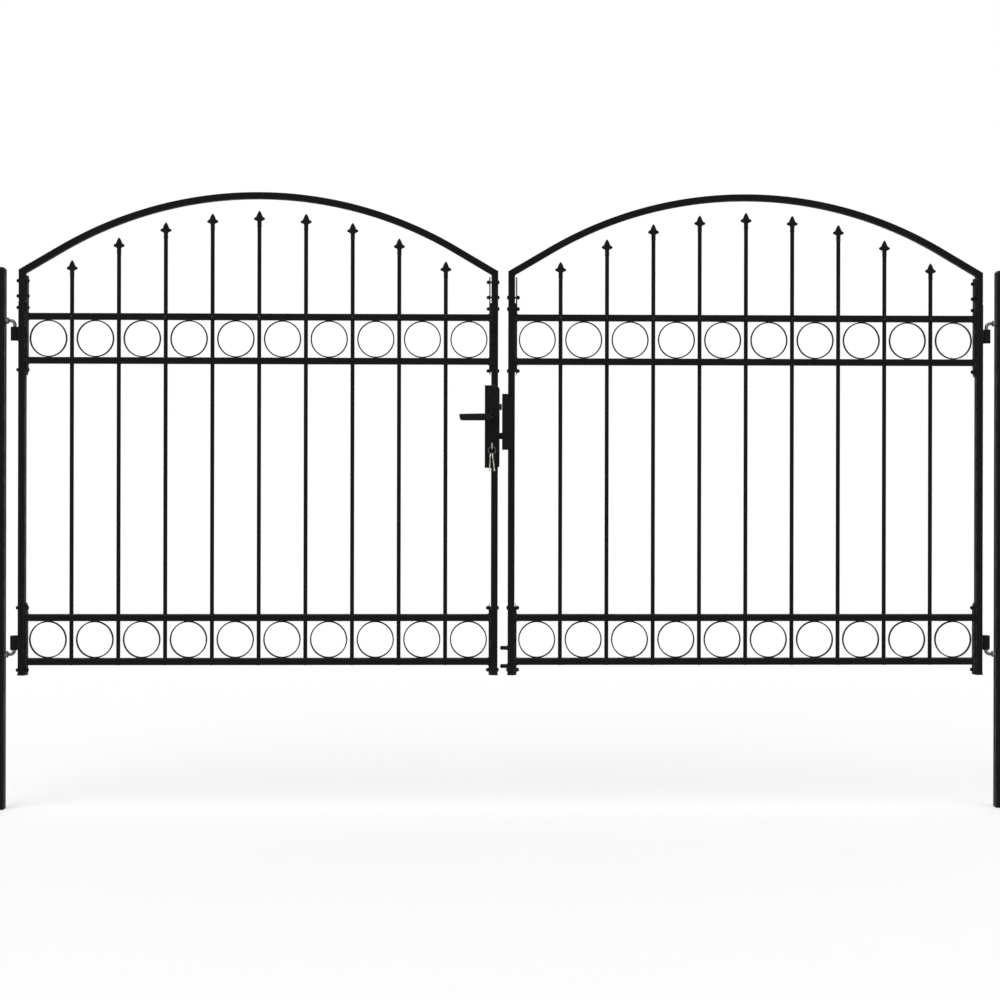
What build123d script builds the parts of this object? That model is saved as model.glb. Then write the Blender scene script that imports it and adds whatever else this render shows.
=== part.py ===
from build123d import *
import math
import os

# Double driveway gate of black coated steel tube: two arched leaves hung on two
# square posts. Millimetres, +X to the right seen from outside, +Z up, and the
# outside is towards -Y. The origin is the centre of the left post's foot.

# Sides given to the many small rounds, which keep their true width over the flats
ring_sides = 12
bar_sides = 6
rod_sides = 12
hole_sides = 8
key_ring_sides = 24
bend_flats = 4

# Driving sizes of the posts
post_length = 1591.5
post_width = 30.0
post_wall = 1.5
post_corner = 1.8
post_foot_plate = 3.0
cap_rim = 1.5
cap_bevel = 7.0
cap_slope = 45
cap_plug = 18.0
cap_fit = 0.2

# Driving sizes of the leaves
leaf_width = 1415.0
meeting_gap = 30.0
hinge_gap = 40.0
leaf_foot = 395.0
stile_width = 20.0
stile_depth = 25.0
stile_wall = 1.5
stile_corner = 1.2
rail_height = 20.0
rail_depth = 20.0
rail_floor = 1.5
bottom_rail_rise = 40.0
band_spacing = 890.0
splice_rise = 45.0
splice_gap = 2.0
splice_insert = 95.0
splice_fit = 0.3
leg_length = 93.0
plug_flange = 5.0
plug_lip = 1.0
plug_reach = 16.0
plug_fit = 0.2

# Driving sizes of the arch
arch_radius = 1156.0
arch_end_slope = 30.5
arch_tube = 20.0
arch_depth = 20.0
arch_wall = 1.5

# Driving sizes of the filling
end_plate = 3.5
end_packer = 3.0
upper_plate_above_rail = 120.0
plate_below_rail = 34.0
plate_taper = 12.0
lower_plate_above_rail = 44.0
ring_outer = 110.0
ring_thickness = 3.5
ring_depth = 10.0
ring_end_gap = 5.0
ring_bar_gap_least = 6.0
bar_diameter = 12.0
bar_fit = 0.3

# Driving sizes of the spearheads
spear_clearance = 34.5
spear_length = 48.0
spear_neck = 13.4
spear_neck_length = 18.0
spear_width = 33.0
spear_thickness = 9.0
spear_edge = 2.0
spear_shoulder_drop = 10.0
spear_shoulder_width = 12.0
spear_lobe = 10.0
spear_lobe_ease = 3.4
spear_lobe_drop = 24.0
spear_blade_width = 17.0

# Driving sizes of the hinges
rod_diameter = 10.0
rod_bend = 12.0
rod_fit = 0.3
rod_tail = 26.0
barrel_diameter = 24.0
barrel_length = 41.0
barrel_stand_off = 0.5
barrel_weld_width = 14.0
upper_barrel_drop = 51.5
lower_barrel_rise = 56.0
upper_hook_lift = 6.0
collar_diameter = 17.0
collar_thickness = 2.0
pin_short = 1.0
nut_across_flats = 17.0
nut_sides = 6
nut_and_washer = 10.0
nut_fit = 0.1

# Driving sizes of the lock
lock_height = 245.0
lock_drop = 193.0
case_inner_reach = 19.0
plate_inner_reach = 7.0
plate_outer_reach = 3.3
plate_thickness = 2.5
plate_corner = 7.0
spindle_inset = 18.0
spindle_rise = 28.0
spindle_side = 8.0
spindle_fit = 0.2
spindle_short = 1.0
cylinder_drop = 85.0
cylinder_round = 17.0
cylinder_neck = 10.0
cylinder_height = 33.0
cylinder_stand_out = 3.5
cylinder_fit = 0.3
lever_length = 99.0
lever_height = 20.0
lever_grip_depth = 12.0
lever_reach = 44.0
lever_neck = 17.0
lever_tip_round = 5.0
lever_elbow = 6.0
lever_return = 7.0
lever_return_length = 12.0
lever_gap = 0.4
latch_rise = 30.0
latch_height = 18.0
latch_depth = 12.0
latch_length = 37.0
latch_throw = 11.0
latch_fit = 0.3
latch_bevel = 7.0
latch_nose = 3.0
latch_spare = 1.0

# Driving sizes of the keys
key_thickness = 2.3
key_bow = 24.0
key_bow_sides = 12
key_bow_rim = 2.2
key_blade_height = 8.0
key_blade_length = 30.0
key_hole = 7.0
key_neck_gap = 5.0
key_shoulder = 2.0
keyway_fit = 0.3
ring_wire = 2.0
ring_mean = 22.0
ring_slack = 0.6
spare_key_length = 56.0
spare_key_slack = 0.2
spare_key_tilt = 3.5
spare_key_turn = 12.0
spare_key_spread = 2.8

# Driving sizes of the keeper and the drop rod lugs
keeper_height = 166.0
keeper_rise = 14.0
keeper_stand_out = 17.5
keeper_wall = 2.0
keeper_plate = 2.5
keeper_plate_cover = 18.0
latch_slot_clear = 3.0
latch_tip_gap = 1.0
buffer_length = 7.5
buffer_height = 19.0
buffer_depth = 14.0
buffer_corner = 2.0
buffer_drop = 56.0
lug_length = 22.0
lug_thickness = 10.0
lug_width = 16.0
lug_bore = 11.0
lower_lug_rise = 26.0
lug_spacing = 54.0

# Heights that follow from the sizes above
bottom_rail = leaf_foot + bottom_rail_rise
rail_pitch = ring_outer + rail_height
lower_band = bottom_rail + rail_pitch / 2
upper_band = lower_band + band_spacing
top_rail = upper_band + rail_pitch / 2
rail_heights = [bottom_rail, bottom_rail + rail_pitch, top_rail - rail_pitch, top_rail]
bar_foot = bottom_rail - rail_height / 2 + rail_floor
splice = top_rail + splice_rise
corner = splice + leg_length
lock_centre = rail_heights[2] - lock_drop
spindle_height = lock_centre + spindle_rise
latch_level = spindle_height + latch_rise
cylinder_level = spindle_height - cylinder_drop

# Places across the gate
gate_middle = post_width / 2 + hinge_gap + leaf_width + meeting_gap / 2
right_post_place = 2 * gate_middle
leaf_half = leaf_width / 2
left_leaf_middle = gate_middle - meeting_gap / 2 - leaf_half
right_leaf_middle = gate_middle + meeting_gap / 2 + leaf_half
pin_offset = barrel_stand_off + barrel_diameter / 2

# The arch, seen square on: an arc between two straight ends that lean by the end slope
slope = math.radians(arch_end_slope)
arch_straight = leaf_half - arch_radius * math.sin(slope)
arch_rise = arch_radius * (1 - math.cos(slope)) + arch_straight * math.tan(slope)
arch_peak = corner + arch_rise
arch_centre = arch_peak - arch_radius

# The filling: as many rings as fit between the end plates with a bar between each pair
stile_inside = leaf_half - stile_width
panel_half = stile_inside - end_packer - end_plate
ring_run = 2 * (panel_half - ring_end_gap)
ring_room_least = bar_diameter + 2 * ring_bar_gap_least
ring_count = int((ring_run + ring_room_least) / (ring_outer + ring_room_least))
ring_pitch = (ring_run - ring_outer) / (ring_count - 1)
ring_places = [(i - (ring_count - 1) / 2) * ring_pitch for i in range(ring_count)]
bar_places = [(i - (ring_count - 2) / 2) * ring_pitch for i in range(ring_count - 1)]

os.makedirs("parts", exist_ok=True)


def front_plane(x, y=0.0):
    """An upright plane whose drawing shows as seen from outside, with z as its height."""
    return Plane(origin=(x, y, 0), x_dir=(1, 0, 0), z_dir=(0, -1, 0))


def side_plane(x, z=0.0):
    """An upright plane across the gate: its drawing runs along +Y, and z is its height."""
    return Plane(origin=(x, 0, z), x_dir=(0, 1, 0), z_dir=(1, 0, 0))


def save(part, label):
    part.label = label
    export_step(part, f"parts/{label}.step")


def flats_outside(diameter, sides, mode=Mode.ADD):
    """A round in a few flats that touch the true circle from outside, one on each axis."""
    RegularPolygon(diameter / 2, sides, major_radius=False, rotation=180 / sides, mode=mode)


def corners_inside(diameter, sides):
    """A round in a few flats whose corners lie on the true circle, so that it turns in its hole."""
    RegularPolygon(diameter / 2, sides, rotation=180 / sides)


def arch_height(inset, x):
    """Height of the line that runs inset inside the arch's outer line, at x from its middle."""
    radius = arch_radius - inset
    tangent_x = radius * math.sin(slope)
    if abs(x) <= tangent_x:
        return arch_centre + math.sqrt(radius**2 - x**2)
    return arch_centre + radius * math.cos(slope) - (abs(x) - tangent_x) * math.tan(slope)


def arch_window(inset, foot):
    """The area under the line that runs inset inside the arch, down to the height foot."""
    radius = arch_radius - inset
    half = leaf_half - inset
    shoulder = arch_height(inset, half)
    tangent_x = radius * math.sin(slope)
    tangent_z = arch_centre + radius * math.cos(slope)
    with BuildSketch(Plane.XY) as window:
        with BuildLine():
            Polyline((-tangent_x, tangent_z), (-half, shoulder), (-half, foot), (half, foot),
                     (half, shoulder), (tangent_x, tangent_z))
            ThreePointArc((tangent_x, tangent_z), (0, arch_centre + radius), (-tangent_x, tangent_z))
        make_face()
    return window.sketch


def eased_rectangle(width, height, corner_cut):
    """A rectangle whose corners are cut at 45 degrees."""
    with BuildSketch(Plane.XY) as outline:
        Rectangle(width, height)
        chamfer(outline.vertices(), corner_cut)
    return outline.sketch


def box_tube(width, depth, wall, corner_cut):
    """The section of a square tube: its eased outline less its inside."""
    add(eased_rectangle(width, depth, corner_cut))
    Rectangle(width - 2 * wall, depth - 2 * wall, mode=Mode.SUBTRACT)


def end_plate_strip(x, side, low, high, taper_low, taper_high):
    """The flat end plate of a band, its ends cut on the slant away from the stile."""
    near = x + side * end_plate
    with BuildPart() as strip:
        with BuildSketch(front_plane(0)):
            with BuildLine():
                Polyline((x, low + taper_low), (x, high - taper_high), (near, high), (near, low), close=True)
            make_face()
        extrude(amount=rail_depth / 2, both=True)
    return strip.part


# Posts: square tube with two holes across them for the hinge rods
rod_heights = [
    top_rail - upper_barrel_drop + barrel_length / 2 + upper_hook_lift + rod_bend,
    bottom_rail + lower_barrel_rise - barrel_length / 2 - rod_fit - collar_thickness - rod_bend,
]


def post(x, label):
    with BuildPart() as tube:
        with BuildSketch(Plane.XY):
            with Locations((x, 0)):
                box_tube(post_width, post_width, post_wall, post_corner)
        extrude(amount=post_length)
        with BuildSketch(Plane.XY):
            with Locations((x, 0)):
                Rectangle(post_width - post_wall, post_width - post_wall)
        extrude(amount=post_foot_plate)
        with BuildSketch(side_plane(x)):
            for height in rod_heights:
                with Locations((0, height)):
                    flats_outside(rod_diameter + 2 * rod_fit, hole_sides)
        extrude(amount=post_width, both=True, mode=Mode.SUBTRACT)
    save(tube.part, label)


def post_cap(x, label):
    """A moulded cap: a bevelled top with clipped corners, and a plug that sits in the tube."""
    inside = post_width - 2 * post_wall - 2 * cap_fit
    with BuildPart() as cap:
        with BuildSketch(Plane.XY.offset(post_length)):
            with Locations((x, 0)):
                Rectangle(post_width, post_width)
        extrude(amount=cap_rim)
        with BuildSketch(Plane.XY.offset(post_length + cap_rim)):
            with Locations((x, 0)):
                Rectangle(post_width, post_width)
        extrude(amount=cap_bevel, taper=cap_slope)
        with BuildSketch(Plane.XY.offset(post_length)):
            with Locations((x, 0)):
                add(eased_rectangle(post_width, post_width, post_corner))
        extrude(amount=cap_rim + cap_bevel, mode=Mode.INTERSECT)
        with BuildSketch(Plane.XY.offset(post_length)):
            with Locations((x, 0)):
                Rectangle(inside, inside)
        extrude(amount=-cap_plug)
    save(cap.part, label)


# Hinges: a bent rod through the post, its pin standing in a barrel on the leaf
def hook(post_x, side, upward, label):
    """side is +1 when the leaf lies towards +X of its post."""
    pin_x = post_x + side * (post_width / 2 + hinge_gap - pin_offset)
    level = rod_heights[1] if upward else rod_heights[0]
    turn = 1 if upward else -1
    pin_length = barrel_length - pin_short + (
        collar_thickness + rod_fit if upward else upper_hook_lift)
    tail_x = post_x - side * rod_tail
    bend = [math.radians(90 * i / bend_flats) for i in range(bend_flats + 1)]
    with BuildPart() as rod:
        with BuildLine() as path:
            Polyline(
                (tail_x, 0, level),
                *[(pin_x - side * rod_bend * (1 - math.sin(a)), 0,
                   level + turn * rod_bend * (1 - math.cos(a))) for a in bend],
                (pin_x, 0, level + turn * (rod_bend + pin_length)),
            )
        with BuildSketch(Plane(origin=(tail_x, 0, level), x_dir=(0, 1, 0), z_dir=(side, 0, 0))):
            corners_inside(rod_diameter, rod_sides)
        sweep(path=path.line, transition=Transition.RIGHT)
        if upward:
            with BuildSketch(Plane.XY.offset(level + rod_bend)):
                with Locations((pin_x, 0)):
                    corners_inside(collar_diameter, rod_sides)
            extrude(amount=collar_thickness)
    save(rod.part, label)


def hinge_nuts(label):
    """Two nuts on each rod, one on each face of the post, each drawn with its washer as one."""
    with BuildPart() as nuts:
        for post_x, side in ((0, 1), (right_post_place, -1)):
            for level in rod_heights:
                for face in (side, -side):
                    start = post_x + face * post_width / 2
                    with BuildSketch(Plane(origin=(start, 0, level), x_dir=(0, 1, 0),
                                           z_dir=(face, 0, 0))):
                        RegularPolygon(nut_across_flats / 2, nut_sides, major_radius=False)
                        flats_outside(rod_diameter + 2 * nut_fit, hole_sides, Mode.SUBTRACT)
                    extrude(amount=nut_and_washer)
    save(nuts.part, label)


def hinge_barrels(stile_x, side, label):
    """side points from the leaf to its post; each barrel is welded on the stile's outer face."""
    pin_x = stile_x + side * (stile_width / 2 + pin_offset)
    with BuildPart() as barrels:
        for centre in (top_rail - upper_barrel_drop, bottom_rail + lower_barrel_rise):
            with BuildSketch(Plane.XY.offset(centre - barrel_length / 2)):
                with Locations((pin_x, 0)):
                    flats_outside(barrel_diameter, ring_sides)
                with Locations((pin_x - side * pin_offset / 2, 0)):
                    Rectangle(pin_offset, barrel_weld_width)
                with Locations((pin_x, 0)):
                    Circle(rod_diameter / 2 + rod_fit, mode=Mode.SUBTRACT)
            extrude(amount=barrel_length)
    save(barrels.part, label)


# Leaf frame
def arch(middle, label):
    foot = splice + splice_gap / 2
    with BuildPart() as tube:
        with BuildSketch(front_plane(middle)):
            add(arch_window(0, foot))
            add(arch_window(arch_tube, foot), mode=Mode.SUBTRACT)
        extrude(amount=arch_depth / 2, both=True)
        with BuildSketch(front_plane(middle)):
            add(arch_window(arch_wall, foot))
            add(arch_window(arch_tube - arch_wall, foot), mode=Mode.SUBTRACT)
        extrude(amount=arch_depth / 2 - arch_wall, both=True, mode=Mode.SUBTRACT)
    save(tube.part, label)


def stile(x, label, lock_gap=None):
    """An upright tube; its top carries the insert on which the arch's leg stands."""
    low = leaf_foot + plug_flange
    high = splice - splice_gap / 2
    insert_width = arch_tube - 2 * arch_wall - splice_fit
    insert_depth = arch_depth - 2 * arch_wall - splice_fit
    with BuildPart() as tube:
        with BuildSketch(Plane.XY.offset(low)):
            with Locations((x, 0)):
                box_tube(stile_width, stile_depth, stile_wall, stile_corner)
        extrude(amount=high - low)
        with BuildSketch(Plane.XY.offset(splice - splice_insert / 2)):
            with Locations((x, 0)):
                Rectangle(insert_width, insert_depth)
        extrude(amount=splice_insert)
        with BuildSketch(Plane.XY.offset(high - stile_wall)):
            with Locations((x, 0)):
                Rectangle(stile_width - stile_wall, stile_depth - stile_wall)
        extrude(amount=stile_wall)
        if lock_gap:
            with BuildSketch(Plane.XY.offset(lock_gap[0])):
                with Locations((x, 0)):
                    Rectangle(2 * stile_width, 2 * stile_depth)
            extrude(amount=lock_gap[1] - lock_gap[0], mode=Mode.SUBTRACT)
    save(tube.part, label)


def stile_plugs(middle, label):
    """Push-in feet: a flange with an eased lip under each stile, and a plug up its inside."""
    places = [(middle - stile_inside - stile_width / 2, 0), (middle + stile_inside + stile_width / 2, 0)]
    with BuildPart() as plugs:
        with BuildSketch(Plane.XY.offset(leaf_foot)):
            with Locations(*places):
                Rectangle(stile_width + 2 * plug_lip, stile_depth + 2 * plug_lip)
        extrude(amount=plug_flange)
        chamfer(plugs.faces().sort_by(Axis.Z)[:2].edges(), plug_lip)
        with BuildSketch(Plane.XY.offset(leaf_foot + plug_flange)):
            with Locations(*places):
                Rectangle(stile_width - 2 * stile_wall - plug_fit, stile_depth - 2 * stile_wall - plug_fit)
        extrude(amount=plug_reach)
    save(plugs.part, label)


# Bands: two rails welded between end plates that bolt to the stiles
def band(middle, lower, label):
    if lower:
        rails = rail_heights[:2]
        plate_low = leaf_foot + plug_flange
        plate_high = rails[1] + lower_plate_above_rail
        packer = (plate_low, plate_high - plate_taper)
        tapers = (0, plate_taper)
    else:
        rails = rail_heights[2:]
        plate_low = rails[0] - plate_below_rail - rail_height / 2
        plate_high = rails[1] + upper_plate_above_rail
        packer = (plate_low + plate_taper, splice - splice_gap)
        tapers = (plate_taper, 0)
    with BuildPart() as frame:
        with BuildSketch(front_plane(middle)):
            with Locations(*[(0, height) for height in rails]):
                Rectangle(2 * panel_half, rail_height)
        extrude(amount=rail_depth / 2, both=True)
        for side in (-1, 1):
            add(end_plate_strip(middle + side * panel_half, side, plate_low, plate_high, *tapers))
            with BuildSketch(front_plane(middle + side * (stile_inside - end_packer / 2))):
                with Locations((0, (packer[0] + packer[1]) / 2)):
                    Rectangle(end_packer, packer[1] - packer[0])
            extrude(amount=rail_depth / 2, both=True)
        with BuildSketch(Plane.XY.offset(bar_foot if lower else rails[0] - rail_height)):
            with Locations(*[(middle + x, 0) for x in bar_places]):
                flats_outside(bar_diameter + 2 * bar_fit, bar_sides)
        extrude(amount=2 * rail_pitch, mode=Mode.SUBTRACT)
    save(frame.part, label)


def rings(middle, height, label):
    """Flat strip bent to rings, each welded to the rails above and below it."""
    with BuildPart() as hoops:
        with BuildSketch(front_plane(middle)):
            with Locations(*[(x, height) for x in ring_places]):
                flats_outside(ring_outer, ring_sides)
                flats_outside(ring_outer - 2 * ring_thickness, ring_sides, Mode.SUBTRACT)
        extrude(amount=ring_depth / 2, both=True)
    save(hoops.part, label)


def bars(middle, label):
    """Round bars that run through the rails and stand on the floor of the bottom one."""
    with BuildPart() as rods:
        for x in bar_places:
            top = arch_height(arch_tube + spear_clearance, x) - spear_length
            with BuildSketch(Plane.XY.offset(bar_foot)):
                with Locations((middle + x, 0)):
                    flats_outside(bar_diameter, bar_sides)
            extrude(amount=top - bar_foot)
    save(rods.part, label)


def spearhead():
    """A cast head with its foot on the origin: a blade that thins to its tip over two
    side lobes, on the neck that takes the bar's end."""
    lobe = spear_length - spear_lobe_drop
    shoulder = spear_length - spear_shoulder_drop
    with BuildPart() as head:
        with BuildSketch(front_plane(0)):
            with BuildLine():
                Polyline((0, spear_length), (spear_shoulder_width / 2, shoulder),
                         (spear_blade_width / 2, lobe + spear_lobe / 2),
                         (spear_neck / 2, spear_neck_length), (-spear_neck / 2, spear_neck_length),
                         (-spear_blade_width / 2, lobe + spear_lobe / 2),
                         (-spear_shoulder_width / 2, shoulder), close=True)
            make_face()
            with Locations((0, lobe)):
                add(eased_rectangle(spear_width, spear_lobe, spear_lobe_ease))
        extrude(amount=spear_thickness / 2, both=True)
        with BuildSketch(side_plane(0)):
            with BuildLine():
                Polyline((-spear_edge / 2, spear_length), (-spear_thickness / 2, shoulder),
                         (-spear_thickness / 2, spear_neck_length), (spear_thickness / 2, spear_neck_length),
                         (spear_thickness / 2, shoulder), (spear_edge / 2, spear_length), close=True)
            make_face()
        extrude(amount=spear_width, both=True, mode=Mode.INTERSECT)
        with BuildSketch(Plane.XY):
            flats_outside(spear_neck, bar_sides)
        extrude(amount=spear_neck_length)
    return head.part


def spearheads(middle, label):
    feet = [arch_height(arch_tube + spear_clearance, x) - spear_length for x in bar_places]
    head = spearhead()
    with BuildPart() as heads:
        with Locations(*[(middle + x, 0, foot) for x, foot in zip(bar_places, feet)]):
            add(head)
    save(heads.part, label)


# Lock on the left leaf's meeting stile
lock_stile = left_leaf_middle + leaf_half - stile_width / 2
spindle_place = lock_stile + stile_width / 2 - spindle_inset
case_left = lock_stile - stile_width / 2 - case_inner_reach
case_right = lock_stile + stile_width / 2
lock_low = lock_centre - lock_height / 2
lock_high = lock_centre + lock_height / 2
keeper_face = gate_middle + meeting_gap / 2 - keeper_stand_out
plate_face = stile_depth / 2 + plate_thickness
spindle_hole = spindle_side * math.sqrt(2) + 2 * spindle_fit


def euro_profile(clearance, mode=Mode.ADD):
    """The lock cylinder seen from the front: a round plug over a narrower foot."""
    with Locations((spindle_place, cylinder_level)):
        flats_outside(cylinder_round + 2 * clearance, ring_sides, mode)
    foot = cylinder_height - cylinder_round / 2
    with Locations((spindle_place, cylinder_level - foot / 2)):
        Rectangle(cylinder_neck + 2 * clearance, foot + 2 * clearance, mode=mode)


def lock_case():
    pocket = latch_length - (keeper_face - latch_tip_gap - case_right) + latch_throw + latch_spare
    with BuildPart() as case:
        with BuildSketch(front_plane(0)):
            with Locations(((case_left + case_right) / 2, lock_centre)):
                Rectangle(case_right - case_left, lock_height)
            with Locations((spindle_place, spindle_height)):
                flats_outside(spindle_hole, hole_sides, Mode.SUBTRACT)
            euro_profile(cylinder_fit, Mode.SUBTRACT)
        extrude(amount=stile_depth / 2, both=True)
        with BuildSketch(side_plane(case_right)):
            with Locations((0, latch_level)):
                Rectangle(latch_depth + 2 * latch_fit, latch_height + 2 * latch_fit)
        extrude(amount=-pocket, mode=Mode.SUBTRACT)
    save(case.part, "lock_case")


def lock_plate(face, label):
    """The long plate over the case; face is -1 outside and +1 inside."""
    left = lock_stile - stile_width / 2 - plate_inner_reach
    right = case_right + plate_outer_reach
    with BuildPart() as plate:
        with BuildSketch(front_plane(0, face * stile_depth / 2)):
            with Locations(((left + right) / 2, lock_centre)):
                RectangleRounded(right - left, lock_height, plate_corner)
            with Locations((spindle_place, spindle_height)):
                flats_outside(spindle_hole, hole_sides, Mode.SUBTRACT)
            euro_profile(cylinder_fit, Mode.SUBTRACT)
        extrude(amount=-face * plate_thickness)
    save(plate.part, label)


def lock_cylinder():
    half = plate_face + cylinder_stand_out
    with BuildPart() as barrel:
        with BuildSketch(front_plane(0)):
            euro_profile(0)
        extrude(amount=half, both=True)
        with BuildSketch(front_plane(0, -half)):
            with Locations((spindle_place, cylinder_level)):
                Rectangle(key_thickness + 2 * keyway_fit, key_blade_height + 2 * keyway_fit)
        extrude(amount=-key_blade_length, mode=Mode.SUBTRACT)
    save(barrel.part, "lock_cylinder")


def lever(face, label):
    """A round neck out of the plate, and a cranked grip that points away from the latch
    and returns towards the plate at its tip."""
    start = plate_face + lever_gap
    outside = start + lever_reach
    inside = outside - lever_grip_depth
    tip = spindle_place - lever_length
    heel = spindle_place + lever_neck / 2
    low = spindle_height - lever_height / 2
    with BuildPart() as handle:
        with BuildSketch(front_plane(0, face * start)):
            with Locations((spindle_place, spindle_height)):
                Circle(lever_neck / 2)
        extrude(amount=-face * (inside - start))
        with BuildSketch(Plane.XY.offset(low)):
            with BuildLine():
                Polyline((heel, face * inside), (heel, face * (outside - lever_elbow)),
                         (heel - lever_elbow, face * outside), (tip + lever_elbow, face * outside),
                         (tip, face * (outside - lever_elbow)), (tip, face * (inside - lever_return)),
                         (tip + lever_return_length, face * (inside - lever_return)),
                         (tip + lever_return_length + lever_return, face * inside), close=True)
            make_face()
        extrude(amount=lever_height)
        tip_edges = handle.edges().filter_by(Axis.Y).group_by(Axis.X)[0]
        chamfer(tip_edges, lever_tip_round)
        with BuildSketch(front_plane(0, face * start)):
            with Locations((spindle_place, spindle_height)):
                Rectangle(spindle_side + 2 * spindle_fit, spindle_side + 2 * spindle_fit)
        extrude(amount=-face * lever_reach / 2, mode=Mode.SUBTRACT)
    save(handle.part, label)


def spindle():
    half = plate_face + lever_gap + lever_reach / 2 - spindle_short
    with BuildPart() as square:
        with BuildSketch(front_plane(0)):
            with Locations((spindle_place, spindle_height)):
                Rectangle(spindle_side, spindle_side)
        extrude(amount=half, both=True)
    save(square.part, "lever_spindle")


def latch_tongue():
    """The sprung bolt, its nose bevelled on the outside so that it rides into the keeper."""
    tip = keeper_face - latch_tip_gap
    tail = tip - latch_length
    half = latch_depth / 2
    with BuildPart() as tongue:
        with BuildSketch(Plane.XY.offset(latch_level - latch_height / 2)):
            with BuildLine():
                Polyline((tail, -half), (tip - latch_bevel, -half), (tip, half - latch_nose), (tip, half),
                         (tail, half), close=True)
            make_face()
        extrude(amount=latch_height)
    save(tongue.part, "latch_tongue")


# Keys: one in the lock, and two spares on the ring through its bow
key_face = -(plate_face + cylinder_stand_out)
bow_middle = key_face - key_neck_gap - key_bow / 2 + key_shoulder
hole_middle = bow_middle - key_bow / 2 + key_hole / 2 + key_bow_rim
ring_top = cylinder_level - key_hole / 2 + ring_wire / 2 + ring_slack
ring_middle = ring_top - ring_mean / 2


def key_in_lock():
    blade_start = key_face + key_blade_length - key_shoulder
    with BuildPart() as key:
        with BuildSketch(side_plane(spindle_place)):
            with Locations((bow_middle, cylinder_level)):
                flats_outside(key_bow, key_bow_sides)
            with Locations(((blade_start + bow_middle) / 2, cylinder_level)):
                Rectangle(blade_start - bow_middle, key_blade_height)
            with Locations((hole_middle, cylinder_level)):
                flats_outside(key_hole, hole_sides, Mode.SUBTRACT)
        extrude(amount=key_thickness / 2, both=True)
    save(key.part, "key")


def key_ring():
    """A flat split ring that hangs in the bow of the key."""
    with BuildPart() as ring:
        with BuildSketch(front_plane(spindle_place, hole_middle)):
            with Locations((0, ring_middle)):
                flats_outside(ring_mean + ring_wire, key_ring_sides)
                flats_outside(ring_mean - ring_wire, key_ring_sides, Mode.SUBTRACT)
        extrude(amount=ring_wire / 2, both=True)
    save(ring.part, "key_ring")


def spare_keys():
    """Two spares that hang apart on the ring's lowest part, each leaning out by the tilt and
    turned about its own length, so that their faces show a little from outside."""
    reach = spare_key_spread + key_thickness
    wire_top = ring_middle - math.sqrt(ring_mean**2 / 4 - reach**2) + ring_wire / 2
    hang = wire_top + spare_key_slack - key_hole / 2
    bow = key_hole / 2 + key_bow_rim - key_bow / 2
    end = key_hole / 2 + key_bow_rim - spare_key_length
    tilt = math.radians(spare_key_tilt)
    turn = math.radians(spare_key_turn)
    with BuildPart() as spares:
        for side in (-1, 1):
            leaning = (math.cos(tilt), 0, side * math.sin(tilt))
            across = (-math.sin(turn) * leaning[0], math.cos(turn), -math.sin(turn) * leaning[2])
            facing = (math.cos(turn) * leaning[0], math.sin(turn), math.cos(turn) * leaning[2])
            plane = Plane(origin=(spindle_place + side * spare_key_spread, hole_middle, hang),
                          x_dir=across, z_dir=facing)
            with BuildSketch(plane):
                with Locations((0, bow)):
                    flats_outside(key_bow, key_bow_sides)
                with Locations((0, (bow + end) / 2)):
                    Rectangle(key_blade_height, bow - end)
                flats_outside(key_hole, hole_sides, Mode.SUBTRACT)
            extrude(amount=key_thickness / 2, both=True)
    save(spares.part, "spare_keys")


# Keeper, buffer and drop rod lugs on the right leaf's meeting stile
keeper_stile_face = gate_middle + meeting_gap / 2
keeper_low = lock_centre + keeper_rise - keeper_height / 2


def keeper():
    """A folded box on the stile's edge with a slot for the latch, and its plate on the front."""
    cover = keeper_stile_face + keeper_plate_cover
    with BuildPart() as box:
        with BuildSketch(Plane.XY.offset(keeper_low)):
            with Locations(((keeper_face + keeper_stile_face) / 2, 0)):
                Rectangle(keeper_stand_out, stile_depth)
            with Locations(((keeper_face + cover) / 2, -(stile_depth + keeper_plate) / 2)):
                Rectangle(cover - keeper_face, keeper_plate)
        extrude(amount=keeper_height)
        with BuildSketch(Plane.XY.offset(keeper_low + keeper_wall)):
            with Locations(((keeper_face + keeper_wall + keeper_stile_face) / 2, 0)):
                Rectangle(keeper_stand_out - keeper_wall, stile_depth - 2 * keeper_wall)
        extrude(amount=keeper_height - 2 * keeper_wall, mode=Mode.SUBTRACT)
        with BuildSketch(side_plane(keeper_face)):
            with Locations((0, latch_level)):
                Rectangle(latch_depth + 2 * latch_slot_clear, latch_height + 2 * latch_slot_clear)
        extrude(amount=keeper_wall, both=True, mode=Mode.SUBTRACT)
    save(box.part, "keeper")


def keeper_buffer():
    """A rubber block on the keeper's face that the other leaf's lock edge meets."""
    with BuildPart() as pad:
        with BuildSketch(side_plane(keeper_face)):
            with Locations((0, spindle_height - buffer_drop)):
                add(eased_rectangle(buffer_depth, buffer_height, buffer_corner))
        extrude(amount=-buffer_length)
    save(pad.part, "keeper_buffer")


def drop_rod_lugs():
    end = keeper_stile_face - lug_length + lug_width / 2
    with BuildPart() as lugs:
        for i in range(2):
            level = leaf_foot + lower_lug_rise + i * lug_spacing
            with BuildSketch(Plane.XY.offset(level - lug_thickness / 2)):
                with Locations((end, 0)):
                    flats_outside(lug_width, ring_sides)
                with Locations(((end + keeper_stile_face) / 2, 0)):
                    Rectangle(keeper_stile_face - end, lug_width)
                with Locations((end, 0)):
                    Circle(lug_bore / 2, mode=Mode.SUBTRACT)
            extrude(amount=lug_thickness)
    save(lugs.part, "drop_rod_lugs")


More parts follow.
